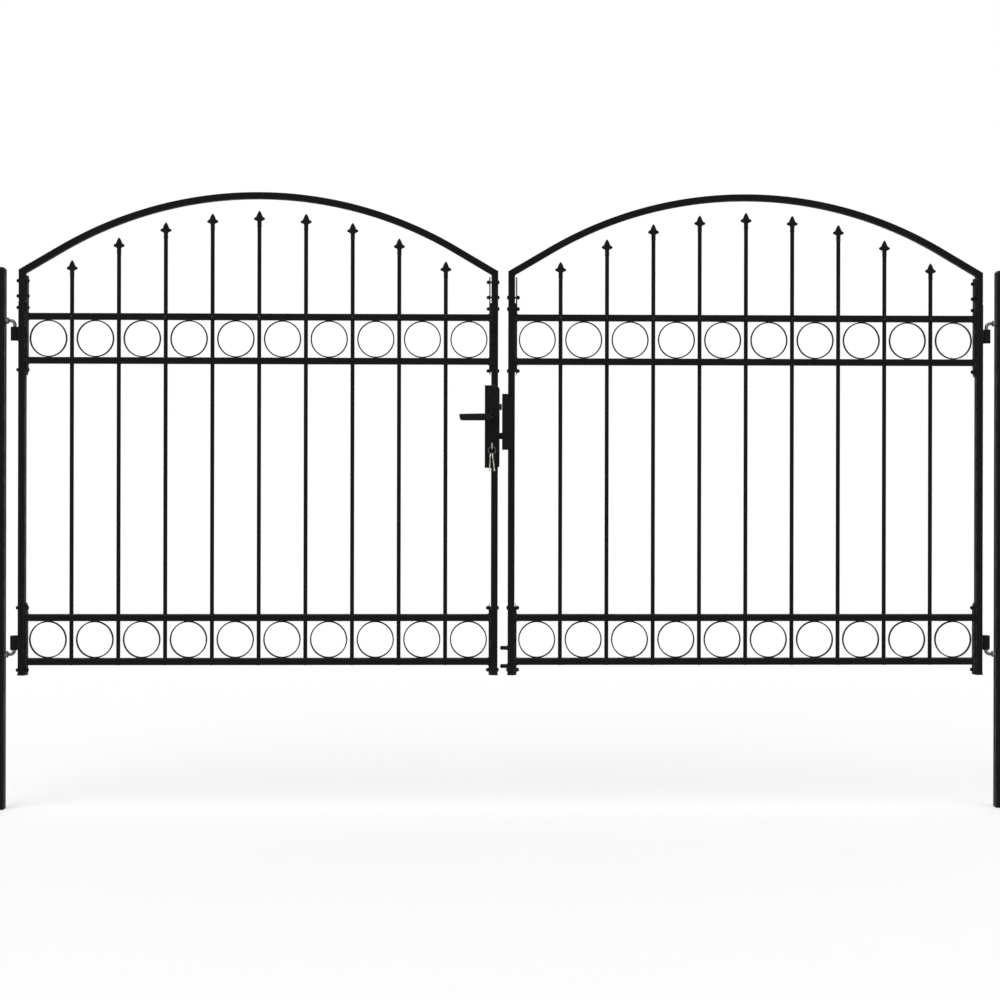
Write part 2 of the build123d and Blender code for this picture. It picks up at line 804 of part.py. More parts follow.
def leaf(side_name, middle, hinge_side):
    hinge_x = middle + hinge_side * (leaf_half - stile_width / 2)
    meeting_x = middle - hinge_side * (leaf_half - stile_width / 2)
    lock_gap = (lock_low, lock_high) if side_name == "left" else None
    arch(middle, f"{side_name}_arch")
    stile(hinge_x, f"{side_name}_hinge_stile")
    stile(meeting_x, f"{side_name}_meeting_stile", lock_gap)
    stile_plugs(middle, f"{side_name}_stile_plugs")
    band(middle, False, f"{side_name}_upper_band")
    band(middle, True, f"{side_name}_lower_band")
    rings(middle, upper_band, f"{side_name}_upper_rings")
    rings(middle, lower_band, f"{side_name}_lower_rings")
    bars(middle, f"{side_name}_bars")
    spearheads(middle, f"{side_name}_spearheads")
    hinge_barrels(hinge_x, hinge_side, f"{side_name}_hinge_barrels")


post(0, "left_post")
post(right_post_place, "right_post")
post_cap(0, "left_post_cap")
post_cap(right_post_place, "right_post_cap")
hook(0, 1, False, "left_upper_hook")
hook(0, 1, True, "left_lower_hook")
hook(right_post_place, -1, False, "right_upper_hook")
hook(right_post_place, -1, True, "right_lower_hook")
hinge_nuts("hinge_nuts")
leaf("left", left_leaf_middle, -1)
leaf("right", right_leaf_middle, 1)
lock_case()
lock_plate(-1, "lock_front_plate")
lock_plate(1, "lock_back_plate")
lock_cylinder()
lever(-1, "front_lever")
lever(1, "back_lever")
spindle()
latch_tongue()
key_in_lock()
key_ring()
spare_keys()
keeper()
keeper_buffer()
drop_rod_lugs()
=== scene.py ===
import math
import bpy
import numpy as np
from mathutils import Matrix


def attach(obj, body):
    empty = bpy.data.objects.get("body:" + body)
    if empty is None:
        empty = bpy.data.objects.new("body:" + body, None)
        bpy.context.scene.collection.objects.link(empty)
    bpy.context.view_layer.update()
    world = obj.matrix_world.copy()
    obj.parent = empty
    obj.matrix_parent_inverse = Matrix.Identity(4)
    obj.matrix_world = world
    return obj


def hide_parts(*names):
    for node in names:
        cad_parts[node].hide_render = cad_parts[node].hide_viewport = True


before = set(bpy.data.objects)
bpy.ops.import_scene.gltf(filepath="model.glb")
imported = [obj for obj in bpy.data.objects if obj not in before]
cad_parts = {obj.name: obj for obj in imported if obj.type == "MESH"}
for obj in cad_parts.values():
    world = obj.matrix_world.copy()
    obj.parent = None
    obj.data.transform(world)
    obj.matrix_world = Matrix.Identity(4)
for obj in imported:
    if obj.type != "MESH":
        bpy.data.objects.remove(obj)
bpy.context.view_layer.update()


# POSTS
# Two lengths of 30 mm square steel tube, welded shut at the foot, blasted and
# coated black before assembly. Each stands on its own foot in the ground.
post_places = [0.0, 2970.0]
post_width = 30.0
post_corner = 2.6
post_length = 1591.5
# Every size in this file is in millimetres, and a mesh takes it times this
MM = 0.001
X_AXIS = np.array([1.0, 0.0, 0.0])
Y_AXIS = np.array([0.0, 1.0, 0.0])
Z_AXIS = np.array([0.0, 0.0, 1.0])


def rounded_outline(width, depth, corner, turns=5):
    """A rectangle with quarter circles for corners: each corner's centre plus the radius at
    an angle, with one more point on the flat before and after every quarter."""
    angle = np.linspace(0, np.pi / 2, turns)
    arc = corner * np.stack([np.cos(angle), np.sin(angle)], 1)
    quarter = np.concatenate([[[corner, -0.6 * corner]], arc, [[-0.6 * corner, corner]]])
    quarter_turn = np.array([[0.0, 1.0], [-1.0, 0.0]])
    four = np.stack([quarter @ np.linalg.matrix_power(quarter_turn, k) for k in range(4)])
    signs = np.array([[1, 1], [-1, 1], [-1, -1], [1, -1]])
    centres = signs * np.array([width / 2 - corner, depth / 2 - corner])
    return (centres[:, None] + four).reshape(-1, 2)


def stacked(outlines, heights, centre, across=X_AXIS, over=Y_AXIS):
    """Outlines laid one on another: each point is the centre, plus the outline's two
    measures along across and over, plus its height along their cross product."""
    outlines = np.asarray(outlines, float)
    heights = np.asarray(heights, float)
    if outlines.ndim == 2:
        outlines = np.repeat(outlines[None], len(heights), 0)
    flat = outlines[..., :1] * across + outlines[..., 1:] * over
    return np.asarray(centre, float) + flat + heights[:, None, None] * np.cross(across, over)


def turn_per_length(steps, after):
    """The angle between each step and the one after it, over their mean length."""
    length = np.linalg.norm(steps, axis=-1) + 1e-9
    length_after = np.linalg.norm(after, axis=-1) + 1e-9
    cosine = np.sum(steps * after, -1) / (length * length_after)
    return 2 * np.arccos(np.clip(cosine, -1, 1)) / (length + length_after)


def edge_wear_and_highlight_mask(shell):
    """How sharp the surface is at each point, from 0 on a flat to 1 on a sharp edge, which the
    black coat paints lighter as a highlight and other finishes read as wear: the turn round its ring
    or along the rings, whichever is more, between two fixed sharpnesses."""
    round_steps = shell - np.roll(shell, 1, 1)
    sharp = turn_per_length(round_steps, np.roll(round_steps, -1, 1))
    if len(shell) > 2:
        along = np.diff(shell, axis=0)
        sharp[1:-1] = np.maximum(sharp[1:-1], turn_per_length(along[:-1], along[1:]))
    share = np.clip((sharp - 0.16) / 0.4, 0, 1)
    return share * share * (3 - 2 * share)


def grid_corners(rings, points, joined):
    """Corner numbers of a grid's faces: a point, its neighbour round the ring, and the same
    two on the next ring. The two ends are one flat face each, unless the rings are joined."""
    ring = (np.arange(rings if joined else rings - 1) * points)[:, None]
    after = (ring + points) % (rings * points)
    point = np.arange(points)
    beside = (point + 1) % points
    quads = np.stack([ring + point, ring + beside, after + beside, after + point], -1)
    ends = [] if joined else [point[::-1], point + (rings - 1) * points]
    return quads.reshape(-1, 4), ends


def six_volumes(points, quads, ends):
    """Six times the volume inside a shell: the sum, over triangles, of one corner dotted
    with the cross product of the other two. It is below zero when faces point inwards."""
    triangles = [quads[:, [0, 1, 2]], quads[:, [0, 2, 3]]]
    for end in ends:
        first = np.full(len(end) - 2, end[0])
        triangles.append(np.stack([first, end[1:-1], end[2:]], 1))
    a, b, c = np.moveaxis(points[np.concatenate(triangles)], 1, 0)
    return np.sum(a * np.cross(b, c))


def piece(name, shells, material, body, nodes=(), joined=(), crease=32):
    """One mesh made of closed shells, each a grid of rings by points. joined holds the
    numbers of the shells whose last ring meets the first."""
    places, corners, counts, wear_and_highlight = [], [], [], []
    start = 0
    for i, shell in enumerate(shells):
        points = shell.reshape(-1, 3)
        quads, ends = grid_corners(shell.shape[0], shell.shape[1], i in joined)
        if six_volumes(points - points.mean(0), quads, ends) < 0:
            quads = quads[:, ::-1]
            ends = [end[::-1] for end in ends]
        corners += [quads.ravel() + start] + [end + start for end in ends]
        counts += [np.full(len(quads), 4)] + [np.array([len(end)]) for end in ends]
        places.append(points)
        wear_and_highlight.append(edge_wear_and_highlight_mask(shell).ravel())
        start += len(points)
    corners = np.concatenate(corners)
    counts = np.concatenate(counts)
    mesh = bpy.data.meshes.new(name)
    mesh.vertices.add(start)
    mesh.loops.add(len(corners))
    mesh.polygons.add(len(counts))
    mesh.vertices.foreach_set("co", (np.concatenate(places) * MM).astype(np.float32).ravel())
    mesh.loops.foreach_set("vertex_index", corners.astype(np.int32))
    mesh.polygons.foreach_set("loop_start", (np.cumsum(counts) - counts).astype(np.int32))
    mesh.polygons.foreach_set("loop_total", counts.astype(np.int32))
    mesh.update(calc_edges=True)
    # the edge mask: wear on some finishes, a painted highlight on the black coat
    worn_and_highlit = mesh.attributes.new("wear_and_highlight", "FLOAT", "POINT")
    worn_and_highlit.data.foreach_set("value", np.concatenate(wear_and_highlight).astype(np.float32))
    mesh.polygons.foreach_set("use_smooth", np.ones(len(counts), bool))
    mesh.set_sharp_from_angle(angle=math.radians(crease))
    mesh.materials.append(material)
    made = bpy.data.objects.new(name, mesh)
    bpy.context.scene.collection.objects.link(made)
    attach(made, body)
    if nodes:
        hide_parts(*nodes)
    return made


def put(tree, kind, inputs=None, **settings):
    """A shader node with its settings, and its inputs by name or number: a socket is
    linked, and anything else is the input's value."""
    made = tree.nodes.new("ShaderNode" + kind)
    for key, value in settings.items():
        setattr(made, key, value)
    for key, value in (inputs or {}).items():
        if isinstance(value, bpy.types.NodeSocket):
            tree.links.new(value, made.inputs[key])
        else:
            made.inputs[key].default_value = value
    return made


def new_finish(name):
    """An empty material with its shader, and a node that gives places on the object."""
    material = bpy.data.materials.new(name)
    material.use_nodes = True
    tree = material.node_tree
    tree.nodes.clear()
    shader = put(tree, "BsdfPrincipled")
    output = put(tree, "OutputMaterial", {"Surface": shader.outputs[0]})
    output.is_active_output = True
    return material, tree, shader, put(tree, "TexCoord").outputs["Object"]


def blend_of(tree, share, low, high):
    """Runs from the low colour to the high one as share goes from 0 to 1."""
    made = put(tree, "Mix", {"Factor": share}, data_type="RGBA")
    for socket, colour in (("A", low), ("B", high)):
        target = [s for s in made.inputs if s.name == socket and s.type == "RGBA"][0]
        if isinstance(colour, bpy.types.NodeSocket):
            tree.links.new(colour, target)
        else:
            target.default_value = (*colour, 1.0)
    return [s for s in made.outputs if s.type == "RGBA"][0]


def noise_of(tree, place, scale, detail=2.0, low=0.35, high=0.65):
    """A noise of the given cells per metre, stretched so that its usual run fills 0 to 1."""
    cloud = put(tree, "TexNoise", {"Vector": place, "Scale": scale, "Detail": detail})
    spread = put(tree, "MapRange", {0: cloud.outputs[0], 1: low, 2: high})
    return spread.outputs[0]


def times(tree, first, second):
    return put(tree, "Math", {0: first, 1: second}, operation="MULTIPLY").outputs[0]


def black_coat():
    """Baked black powder coat: a fine orange peel that is greyer on its crests, slow patches
    of gloss, a little dust that has settled, and sharp edges painted lighter as a highlight, where the coat
    also runs thin."""
    material, tree, shader, place = new_finish("black_powder_coat")
    patches = noise_of(tree, place, 9.0)
    specks = noise_of(tree, place, 420.0, low=0.56, high=0.74)
    # painted highlight: the mesh's edge mask on sharp edges and corners, lightened in patches
    rubbed_and_highlit = times(tree, put(tree, "Attribute", attribute_name="wear_and_highlight").outputs["Fac"],
                   noise_of(tree, place, 60.0, detail=4.0, low=0.4, high=0.7))
    peel = put(tree, "TexNoise", {"Vector": place, "Scale": 650.0, "Detail": 1.0})
    crests = put(tree, "MapRange", {0: peel.outputs[0], 1: 0.42, 2: 0.72})
    ground = blend_of(tree, patches, (0.0018, 0.0018, 0.002), (0.0036, 0.0035, 0.0034))
    grained = blend_of(tree, crests.outputs[0], ground, (0.0075, 0.0074, 0.0072))
    dusty = blend_of(tree, times(tree, specks, 0.2), grained, (0.03, 0.028, 0.025))
    # painted highlight: sharp edges go to this lighter grey, where the coat also runs thin
    worn_and_highlit = blend_of(tree, rubbed_and_highlit, dusty, (0.046, 0.046, 0.048))
    tree.links.new(worn_and_highlit, shader.inputs["Base Color"])
    gloss = put(tree, "MapRange", {0: noise_of(tree, place, 24.0, detail=3.0), 3: 0.5, 4: 0.64})
    tree.links.new(gloss.outputs[0], shader.inputs["Roughness"])
    shader.inputs["Specular IOR Level"].default_value = 0.085
    bump = put(tree, "Bump", {"Strength": 0.3, "Distance": 0.0002, "Height": peel.outputs[0]})
    tree.links.new(bump.outputs[0], shader.inputs["Normal"])
    return material


coat = black_coat()

tube_outline = rounded_outline(post_width, post_width, post_corner)
piece("post_tubes", [stacked(tube_outline, [0, post_length], (x, 0, 0)) for x in post_places],
      coat, "posts", ["left_post", "right_post"])


# POST CAPS
# Black polyethylene caps pushed into the tubes' tops, with a short upright rim and
# a bevelled crown. They are injection moulded, so their edges are soft.
cap_rim_top = 1593.2
cap_top = 1600.0
cap_flat_half = 8.0


def moulded_black():
    """Injection-moulded black plastic: an even satin with a fine spark-eroded grain."""
    material, tree, shader, place = new_finish("black_plastic_moulded")
    clouds = noise_of(tree, place, 35.0)
    flow = noise_of(tree, place, 180.0, detail=3.0)
    base = blend_of(tree, clouds, (0.0045, 0.0045, 0.0048), (0.008, 0.008, 0.0083))
    tree.links.new(base, shader.inputs["Base Color"])
    gloss = put(tree, "MapRange", {0: flow, 3: 0.48, 4: 0.6})
    tree.links.new(gloss.outputs[0], shader.inputs["Roughness"])
    shader.inputs["Specular IOR Level"].default_value = 0.12
    grain = put(tree, "TexNoise", {"Vector": place, "Scale": 2600.0, "Detail": 2.0})
    bump = put(tree, "Bump", {"Strength": 0.3, "Distance": 0.0001, "Height": grain.outputs[0]})
    tree.links.new(bump.outputs[0], shader.inputs["Normal"])
    return material


plastic = moulded_black()


def crowned_cap(x):
    """Rounded squares stacked upwards: an upright rim, then a crown whose inset grows evenly
    while its rise eases off towards the flat top."""
    share = np.linspace(0, 1, 9)
    inset = np.concatenate([[0.25, 0.25, 0.0, 0.0], share * (post_width / 2 - cap_flat_half)])
    rise = share + 0.16 * np.sin(np.pi * share)
    height = np.concatenate([[post_length, 1591.9, 1592.1, cap_rim_top - 0.4],
                             cap_rim_top + (cap_top - cap_rim_top) * np.minimum(rise, 1)])
    height = np.maximum.accumulate(height)
    outlines = [rounded_outline(post_width - 2 * i, post_width - 2 * i, post_corner) for i in inset]
    return stacked(outlines, height, (x, 0, 0))


piece("post_cap_crowns", [crowned_cap(x) for x in post_places], plastic, "posts",
      ["left_post_cap", "right_post_cap"])


# HOOK HINGES
# Bright zinc plated 10 mm steel rod, threaded through the post and bent to an upright
# pin. The upper hooks point down into their barrels and the lower ones point up, so
# that the leaf can't be lifted off. The lower pins carry a loose thrust collar.
rod_radius = 5.0
rod_bend = 12.0
rod_tail = 26.0
pin_reach = 42.5
upper_rod_height = 1442.0
lower_rod_height = 456.2
upper_pin_end = 1384.0
lower_pin_end = 510.5
thread_pitch = 1.5
thread_depth = 0.75
thread_runs = [(-26.0, -23.0), (23.0, 29.5)]


def carried(path, outline, normal):
    """A tube: an outline carried along a path that lies in one plane. Each ring is the
    path's point, plus the outline's first measure across the path in its plane, lengthened
    at a bend by the mitre, plus its second measure along the plane's normal."""
    steps = np.diff(path, axis=0)
    steps = steps / np.linalg.norm(steps, axis=1, keepdims=True)
    sides = np.cross(normal, steps)
    sides = sides / np.linalg.norm(sides, axis=1, keepdims=True)
    before = np.concatenate([sides[:1], sides])
    after = np.concatenate([sides, sides[-1:]])
    across = (before + after) / (1 + np.sum(before * after, 1, keepdims=True))
    outline = np.asarray(outline, float)
    if outline.ndim == 2:
        outline = outline[None]
    return path[:, None] + outline[..., :1] * across[:, None] + outline[..., 1:] * normal


def circle(radius, points=24):
    """A round outline for every radius given: the radius along the cosine and sine of evenly
    spaced angles."""
    angle = np.arange(points) * 2 * np.pi / points
    unit = np.stack([np.cos(angle), np.sin(angle)], 1)
    return np.asarray(radius, float)[..., None, None] * unit


def turned(profile, centre, across, over, points=32):
    """A shape turned about the line along across x over: every radius of the profile at
    every angle, at that radius's height along the line."""
    profile = np.asarray(profile, float)
    return stacked(circle(profile[:, 0], points), profile[:, 1], centre, across, over)


def hook_rod(post_x, side, level, pin_end):
    """A round rod along a straight run, a quarter bend and an upright pin. On its threaded
    runs the radius falls by a wave that goes round once for each pitch along it."""
    turn = np.sign(pin_end - level)
    ends = [np.linspace(low, high, int((high - low) / thread_pitch * 6) + 1)
            for low, high in thread_runs]
    bend_start = pin_reach - rod_bend
    straight = np.concatenate([ends[0], ends[1], [bend_start]])
    angle = np.linspace(0, np.pi / 2, 13)[1:]
    arc_x = bend_start + rod_bend * np.sin(angle)
    arc_z = level + turn * rod_bend * (1 - np.cos(angle))
    pin = np.array([pin_end - turn * 1.0, pin_end])
    along = np.concatenate([straight, arc_x, np.full(2, pin_reach)])
    height = np.concatenate([np.full(len(straight), level), arc_z, pin])
    path = np.stack([post_x + side * along, np.zeros(len(along)), height], 1)
    phase = np.arange(24) * 2 * np.pi / 24
    threaded = np.concatenate([np.ones(len(ends[0])), np.ones(len(ends[1])),
                               np.zeros(len(along) - len(ends[0]) - len(ends[1]))])
    wave = 0.5 + 0.5 * np.cos(2 * np.pi * along[:, None] / thread_pitch - phase)
    radius = rod_radius - thread_depth * threaded[:, None] * wave
    radius[0] -= 0.8
    radius[-1] -= 0.8
    outline = radius[..., None] * np.stack([np.cos(phase), np.sin(phase)], 1)
    return carried(path, outline, Y_AXIS)


def bright_zinc():
    """Bright zinc plate: faint spangle, a bluish and yellowish passivation, dulled in
    patches and scratched finely."""
    material, tree, shader, place = new_finish("bright_zinc_plate")
    grains = put(tree, "TexVoronoi", {"Vector": place, "Scale": 900.0})
    spangle = put(tree, "SeparateColor", {0: grains.outputs["Color"]}).outputs[0]
    tint = noise_of(tree, place, 45.0, detail=3.0)
    cool = blend_of(tree, tint, (0.105, 0.108, 0.114), (0.15, 0.146, 0.135))
    base = blend_of(tree, times(tree, spangle, 0.35), cool, (0.22, 0.22, 0.22))
    tree.links.new(base, shader.inputs["Base Color"])
    shader.inputs["Metallic"].default_value = 0.9
    dull = noise_of(tree, place, 160.0, detail=5.0)
    gloss = put(tree, "MapRange", {0: dull, 3: 0.3, 4: 0.52})
    tree.links.new(gloss.outputs[0], shader.inputs["Roughness"])
    bump = put(tree, "Bump", {"Strength": 0.2, "Distance": 0.0001, "Height": dull})
    tree.links.new(bump.outputs[0], shader.inputs["Normal"])
    return material


zinc = bright_zinc()

for side_name, post_x, side in (("left", post_places[0], 1), ("right", post_places[1], -1)):
    piece(f"{side_name}_upper_hook_rod", [hook_rod(post_x, side, upper_rod_height, upper_pin_end)],
          zinc, "posts", [f"{side_name}_upper_hook"])
    collar_low = lower_rod_height + rod_bend
    collar = turned([(5.2, 0), (8.1, 0), (8.5, 0.4), (8.5, 1.6), (8.1, 2.0), (5.2, 2.0)],
                    (post_x + side * pin_reach, 0, collar_low), X_AXIS, Y_AXIS)
    piece(f"{side_name}_lower_hook_rod",
          [hook_rod(post_x, side, lower_rod_height, lower_pin_end), collar],
          zinc, "posts", [f"{side_name}_lower_hook"])


# HINGE NUTS
# A zinc plated nut on a washer on each face of the post, run along the thread to set
# the leaf's place and then locked against the tube.
nut_flats = 17.0
nut_thickness = 8.0
nut_washer = 2.0
nut_washer_radius = 10.0


def nut(centre, across, over, flats, thickness, points=48):
    """Six flats cut by a cone at both faces: at every angle the lesser of the hexagon's
    reach and the cone's radius, which grows with the distance from the face."""
    angle = np.arange(points) * 2 * np.pi / points
    hexagon = flats / 2 / np.cos((angle + np.pi / 6) % (np.pi / 3) - np.pi / 6)
    rise = np.array([0, 0.02, 0.04, 0.062, 0.09, 0.91, 0.938, 0.96, 0.98, 1])
    from_face = np.minimum(rise, 1 - rise) * flats
    cone = flats / 2 * 0.94 + from_face * 1.75
    radius = np.minimum(hexagon, cone[:, None])
    outline = radius[..., None] * np.stack([np.cos(angle), np.sin(angle)], 1)
    heights = np.where(rise < 0.5, rise * flats, thickness - (1 - rise) * flats)
    return stacked(outline, heights, centre, across, over)


nut_shells = []
for post_x in post_places:
    for level in (upper_rod_height, lower_rod_height):
        for face in (-1, 1):
            across, over = (Y_AXIS, Z_AXIS) if face > 0 else (Z_AXIS, Y_AXIS)
            start = post_x + face * post_width / 2
            nut_shells.append(turned([(9.6, 0), (nut_washer_radius, 0.3), (nut_washer_radius, 1.7),
                                      (9.6, nut_washer)], (start, 0, level), across, over))
            nut_shells.append(nut((start + face * nut_washer, 0, level), across, over,
                                  nut_flats, nut_thickness))
piece("hinge_nuts_and_washers", nut_shells, zinc, "posts", ["hinge_nuts"], crease=28)


# HINGE BARRELS
# Thick round tube that turns on the hook's pin, joined to the stile's outer face by a
# filler bar and a run of weld on each side, and coated with the leaf.
leaf_sides = [("left", 762.5, -1), ("right", 2207.5, 1)]
leaf_half = 707.5
barrel_centres = [1403.5, 491.0]
barrel_half = 20.5
barrel_radius = 12.0
barrel_bore = 5.3
pin_offset = 12.5


def weld_bead(start, end, radius, normal, points=8):
    """A rippled run of weld: a round outline along a straight line, its radius growing from
    thin ends and swelling once for every ripple."""
    start, end = np.asarray(start, float), np.asarray(end, float)
    length = np.linalg.norm(end - start)
    share = np.linspace(0, 1, max(7, int(length / 1.1) + 1))
    ripple = 1 + 0.1 * np.cos(2 * np.pi * share * max(2, round(length / 3.2)))
    swell = radius * ripple * np.minimum(1, 0.45 + 4 * np.minimum(share, 1 - share))
    return carried(start + share[:, None] * (end - start), circle(swell, points), normal)


for side_name, middle, hinge_side in leaf_sides:
    shells, rings_joined = [], []
    face_x = middle + hinge_side * leaf_half
    pin_x = face_x + hinge_side * pin_offset
    for centre, weld_end in zip(barrel_centres, (-1, 1)):
        wall = [(barrel_bore, 1.0), (barrel_bore + 0.8, 0), (barrel_radius - 0.9, 0), (barrel_radius, 0.9),
                (barrel_radius, 40.1), (barrel_radius - 0.9, 41), (barrel_bore + 0.8, 41),
                (barrel_bore, 40)]
        rings_joined.append(len(shells))
        shells.append(turned(wall, (pin_x, 0, centre - barrel_half), X_AXIS, Y_AXIS, 40))
        filler = rounded_outline(5.0, 13.0, 1.0, 3)
        shells.append(stacked(filler, [centre - 19.5, centre + 19.5], (face_x + hinge_side * 1.6, 0, 0)))
        for y in (-6.6, 6.6):
            bead_x = face_x + hinge_side * 1.2
            shells.append(weld_bead((bead_x, y, centre - 18.5), (bead_x, y, centre + 18.5), 2.6, Y_AXIS))
        fillet_z = centre + weld_end * (barrel_half + 0.6)
        shells.append(weld_bead((face_x, -6, fillet_z), (face_x, 6, fillet_z), 3.2, X_AXIS))
    piece(f"{side_name}_barrels_welded", shells, coat, f"{side_name}_leaf",
          [f"{side_name}_hinge_barrels"], joined=rings_joined)


# STILES
# The leaf's uprights, 20 by 25 mm tube. Their tops take an insert on which the arch's
# leg stands, with a narrow open joint between the two, so the leaf packs flat.
stile_width = 20.0
stile_depth = 25.0
stile_corner = 2.2
stile_low = 400.0
stile_high = 1499.0
insert_high = 1547.5
lock_low, lock_high = 1009.5, 1254.5


def stile_length(x, low, high):
    """One straight length of the stile's tube."""
    return stacked(rounded_outline(stile_width, stile_depth, stile_corner), [low, high], (x, 0, 0))


for side_name, middle, hinge_side in leaf_sides:
    for kind, x in (("hinge", middle + hinge_side * (leaf_half - 10)),
                    ("meeting", middle - hinge_side * (leaf_half - 10))):
        if (side_name, kind) == ("left", "meeting"):
            runs = [(stile_low, lock_low), (lock_high, stile_high)]
        else:
            runs = [(stile_low, stile_high)]
        shells = [stile_length(x, low, high) for low, high in runs]
        shells.append(stacked(rounded_outline(16.6, 16.6, 1.5, 3), [1440, insert_high], (x, 0, 0)))
        piece(f"{side_name}_{kind}_stile_tube", shells, coat, f"{side_name}_leaf",
              [f"{side_name}_{kind}_stile"])


# STILE FEET
# Black plastic plugs pushed into the stiles' open lower ends, each with a flange that
# laps the tube all round and is eased at its lower edge.
foot_low = 395.0
for side_name, middle, hinge_side in leaf_sides:
    shells = []
    for x in (middle - leaf_half + 10, middle + leaf_half - 10):
        inset = np.array([1.3, 0.5, 0.1, 0.0, 0.0, 0.15])
        height = np.array([0.0, 0.25, 0.9, 1.6, 4.7, 5.0])
        outlines = [rounded_outline(22 - 2 * i, 27 - 2 * i, 2.6) for i in inset]
        shells.append(stacked(outlines, foot_low + height, (x, 0, 0)))
    piece(f"{side_name}_foot_plugs", shells, plastic, f"{side_name}_leaf",
          [f"{side_name}_stile_plugs"])


# ARCHES
# 20 mm square tube rolled to a shallow arc with straight ends, mitred and welded to two
# short legs. The weld at each mitre is ground nearly flush before the coating.
arch_radius = 1156.0
arch_slope = math.radians(30.5)
arch_tube = 20.0
arch_foot = 1501.0
arch_corner = 1593.0
arch_rise = (arch_radius * (1 - math.cos(arch_slope))
             + (leaf_half - arch_radius * math.sin(arch_slope)) * math.tan(arch_slope))
arch_centre = arch_corner + arch_rise - arch_radius


def arch_line(inset, x):
    """Height of the line that runs inset inside the arch's outer line, at x from the leaf's
    middle: a circle, and straight on along its last slope."""
    radius = arch_radius - inset
    reach = radius * np.sin(arch_slope)
    x = np.abs(x)
    bow = arch_centre + np.sqrt(radius**2 - np.minimum(x, reach)**2)
    return bow - np.maximum(x - reach, 0) * np.tan(arch_slope)


def bead_round(ring, along, radius):
    """A thin weld that follows a ring of the tube: at every point of the ring, a small
    circle in the plane of the outward direction and the tube's length."""
    outward = ring - ring.mean(0)
    outward = outward / np.linalg.norm(outward, axis=1, keepdims=True)
    small = circle(radius, 8)
    return ring[:, None] + small[:, :1] * outward[:, None] + small[:, 1:] * along


for side_name, middle, hinge_side in leaf_sides:
    inset = arch_tube / 2
    leg_x = leaf_half - inset
    sweep = np.linspace(-arch_slope, arch_slope, 81)
    arc_x = (arch_radius - inset) * np.sin(sweep)
    arc_z = arch_centre + (arch_radius - inset) * np.cos(sweep)
    shoulder = arch_line(inset, leg_x)
    line_x = np.concatenate([[-leg_x, -leg_x], arc_x, [leg_x, leg_x]])
    line_z = np.concatenate([[arch_foot, shoulder], arc_z, [shoulder, arch_foot]])
    path = np.stack([middle + line_x, np.zeros(len(line_x)), line_z], 1)
    tube = carried(path, rounded_outline(arch_tube, arch_tube, stile_corner), Y_AXIS)
    shells = [tube]
    joined = []
    for ring, lean in ((1, 1), (-2, -1)):
        along = np.array([-lean * math.sin(arch_slope / 2 + math.pi / 4), 0,
                          math.cos(arch_slope / 2 + math.pi / 4)])
        joined.append(len(shells))
        shells.append(bead_round(tube[ring], along, 0.8))
    piece(f"{side_name}_arch_tube", shells, coat, f"{side_name}_leaf",
          [f"{side_name}_arch"], joined=joined)


# BANDS
# Two 20 mm square rails to each band, welded between flat end plates. Packers stand
# the plates off the stiles, and both plates' free ends are sheared on the slant.
rail_half = 681.0
rail_levels = {"upper": (1325.0, 1455.0), "lower": (435.0, 565.0)}
plate_runs = {"upper": (1281.0, 1575.0), "lower": (395.6, 609.0)}
packer_runs = {"upper": (1293.0, 1498.0), "lower": (395.6, 597.0)}
plate_slants = {"upper": (12.0, 0.0), "lower": (0.0, 12.0)}
end_plate = 3.5
packer = 3.0


def slanted_plate(x, side, low, high, slants):
    """An end plate as two outlines, its ends sheared: the height of each end's points moves
    by the slant times their share of the thickness away from the stile."""
    outline = rounded_outline(end_plate, 20.0, 0.8, 3)
    plate = stacked(outline, [low, low + 14, high - 14, high], (x + side * end_plate / 2, 0, 0))
    share = 0.5 - side * outline[:, 0] / end_plate
    plate[0, :, 2] += slants[0] * share
    plate[-1, :, 2] -= slants[1] * share
    return plate


for side_name, middle, hinge_side in leaf_sides:
    for band, levels in rail_levels.items():
        shells = []
        for level in levels:
            shells.append(stacked(rounded_outline(20.0, 20.0, 2.2), [-rail_half, rail_half],
                                  (middle, 0, level), Y_AXIS, Z_AXIS))
        for side in (-1, 1):
            plate_x = middle + side * rail_half
            shells.append(slanted_plate(plate_x, side, *plate_runs[band], plate_slants[band]))
            low, high = packer_runs[band]
            shells.append(stacked(rounded_outline(packer, 20.0, 0.6, 3), [low, high],
                                  (plate_x + side * (end_plate + packer / 2), 0, 0)))
            for level in levels:
                for edge in (-10.0, 10.0):
                    bead_x = plate_x - side * 0.8
                    shells.append(weld_bead((bead_x, -8.6, level + edge), (bead_x, 8.6, level + edge),
                                            1.9, X_AXIS))
        piece(f"{side_name}_{band}_rails", shells, coat, f"{side_name}_leaf",
              [f"{side_name}_{band}_band"])


# RINGS
# Flat 10 by 3.5 mm strip rolled to rings, butt welded, and tacked to the rail above and
# the rail below on both sides of the touching line.
ring_outer = 55.0
ring_thickness = 3.5
ring_pitch = 138.0
ring_places = (np.arange(10) - 4.5) * ring_pitch

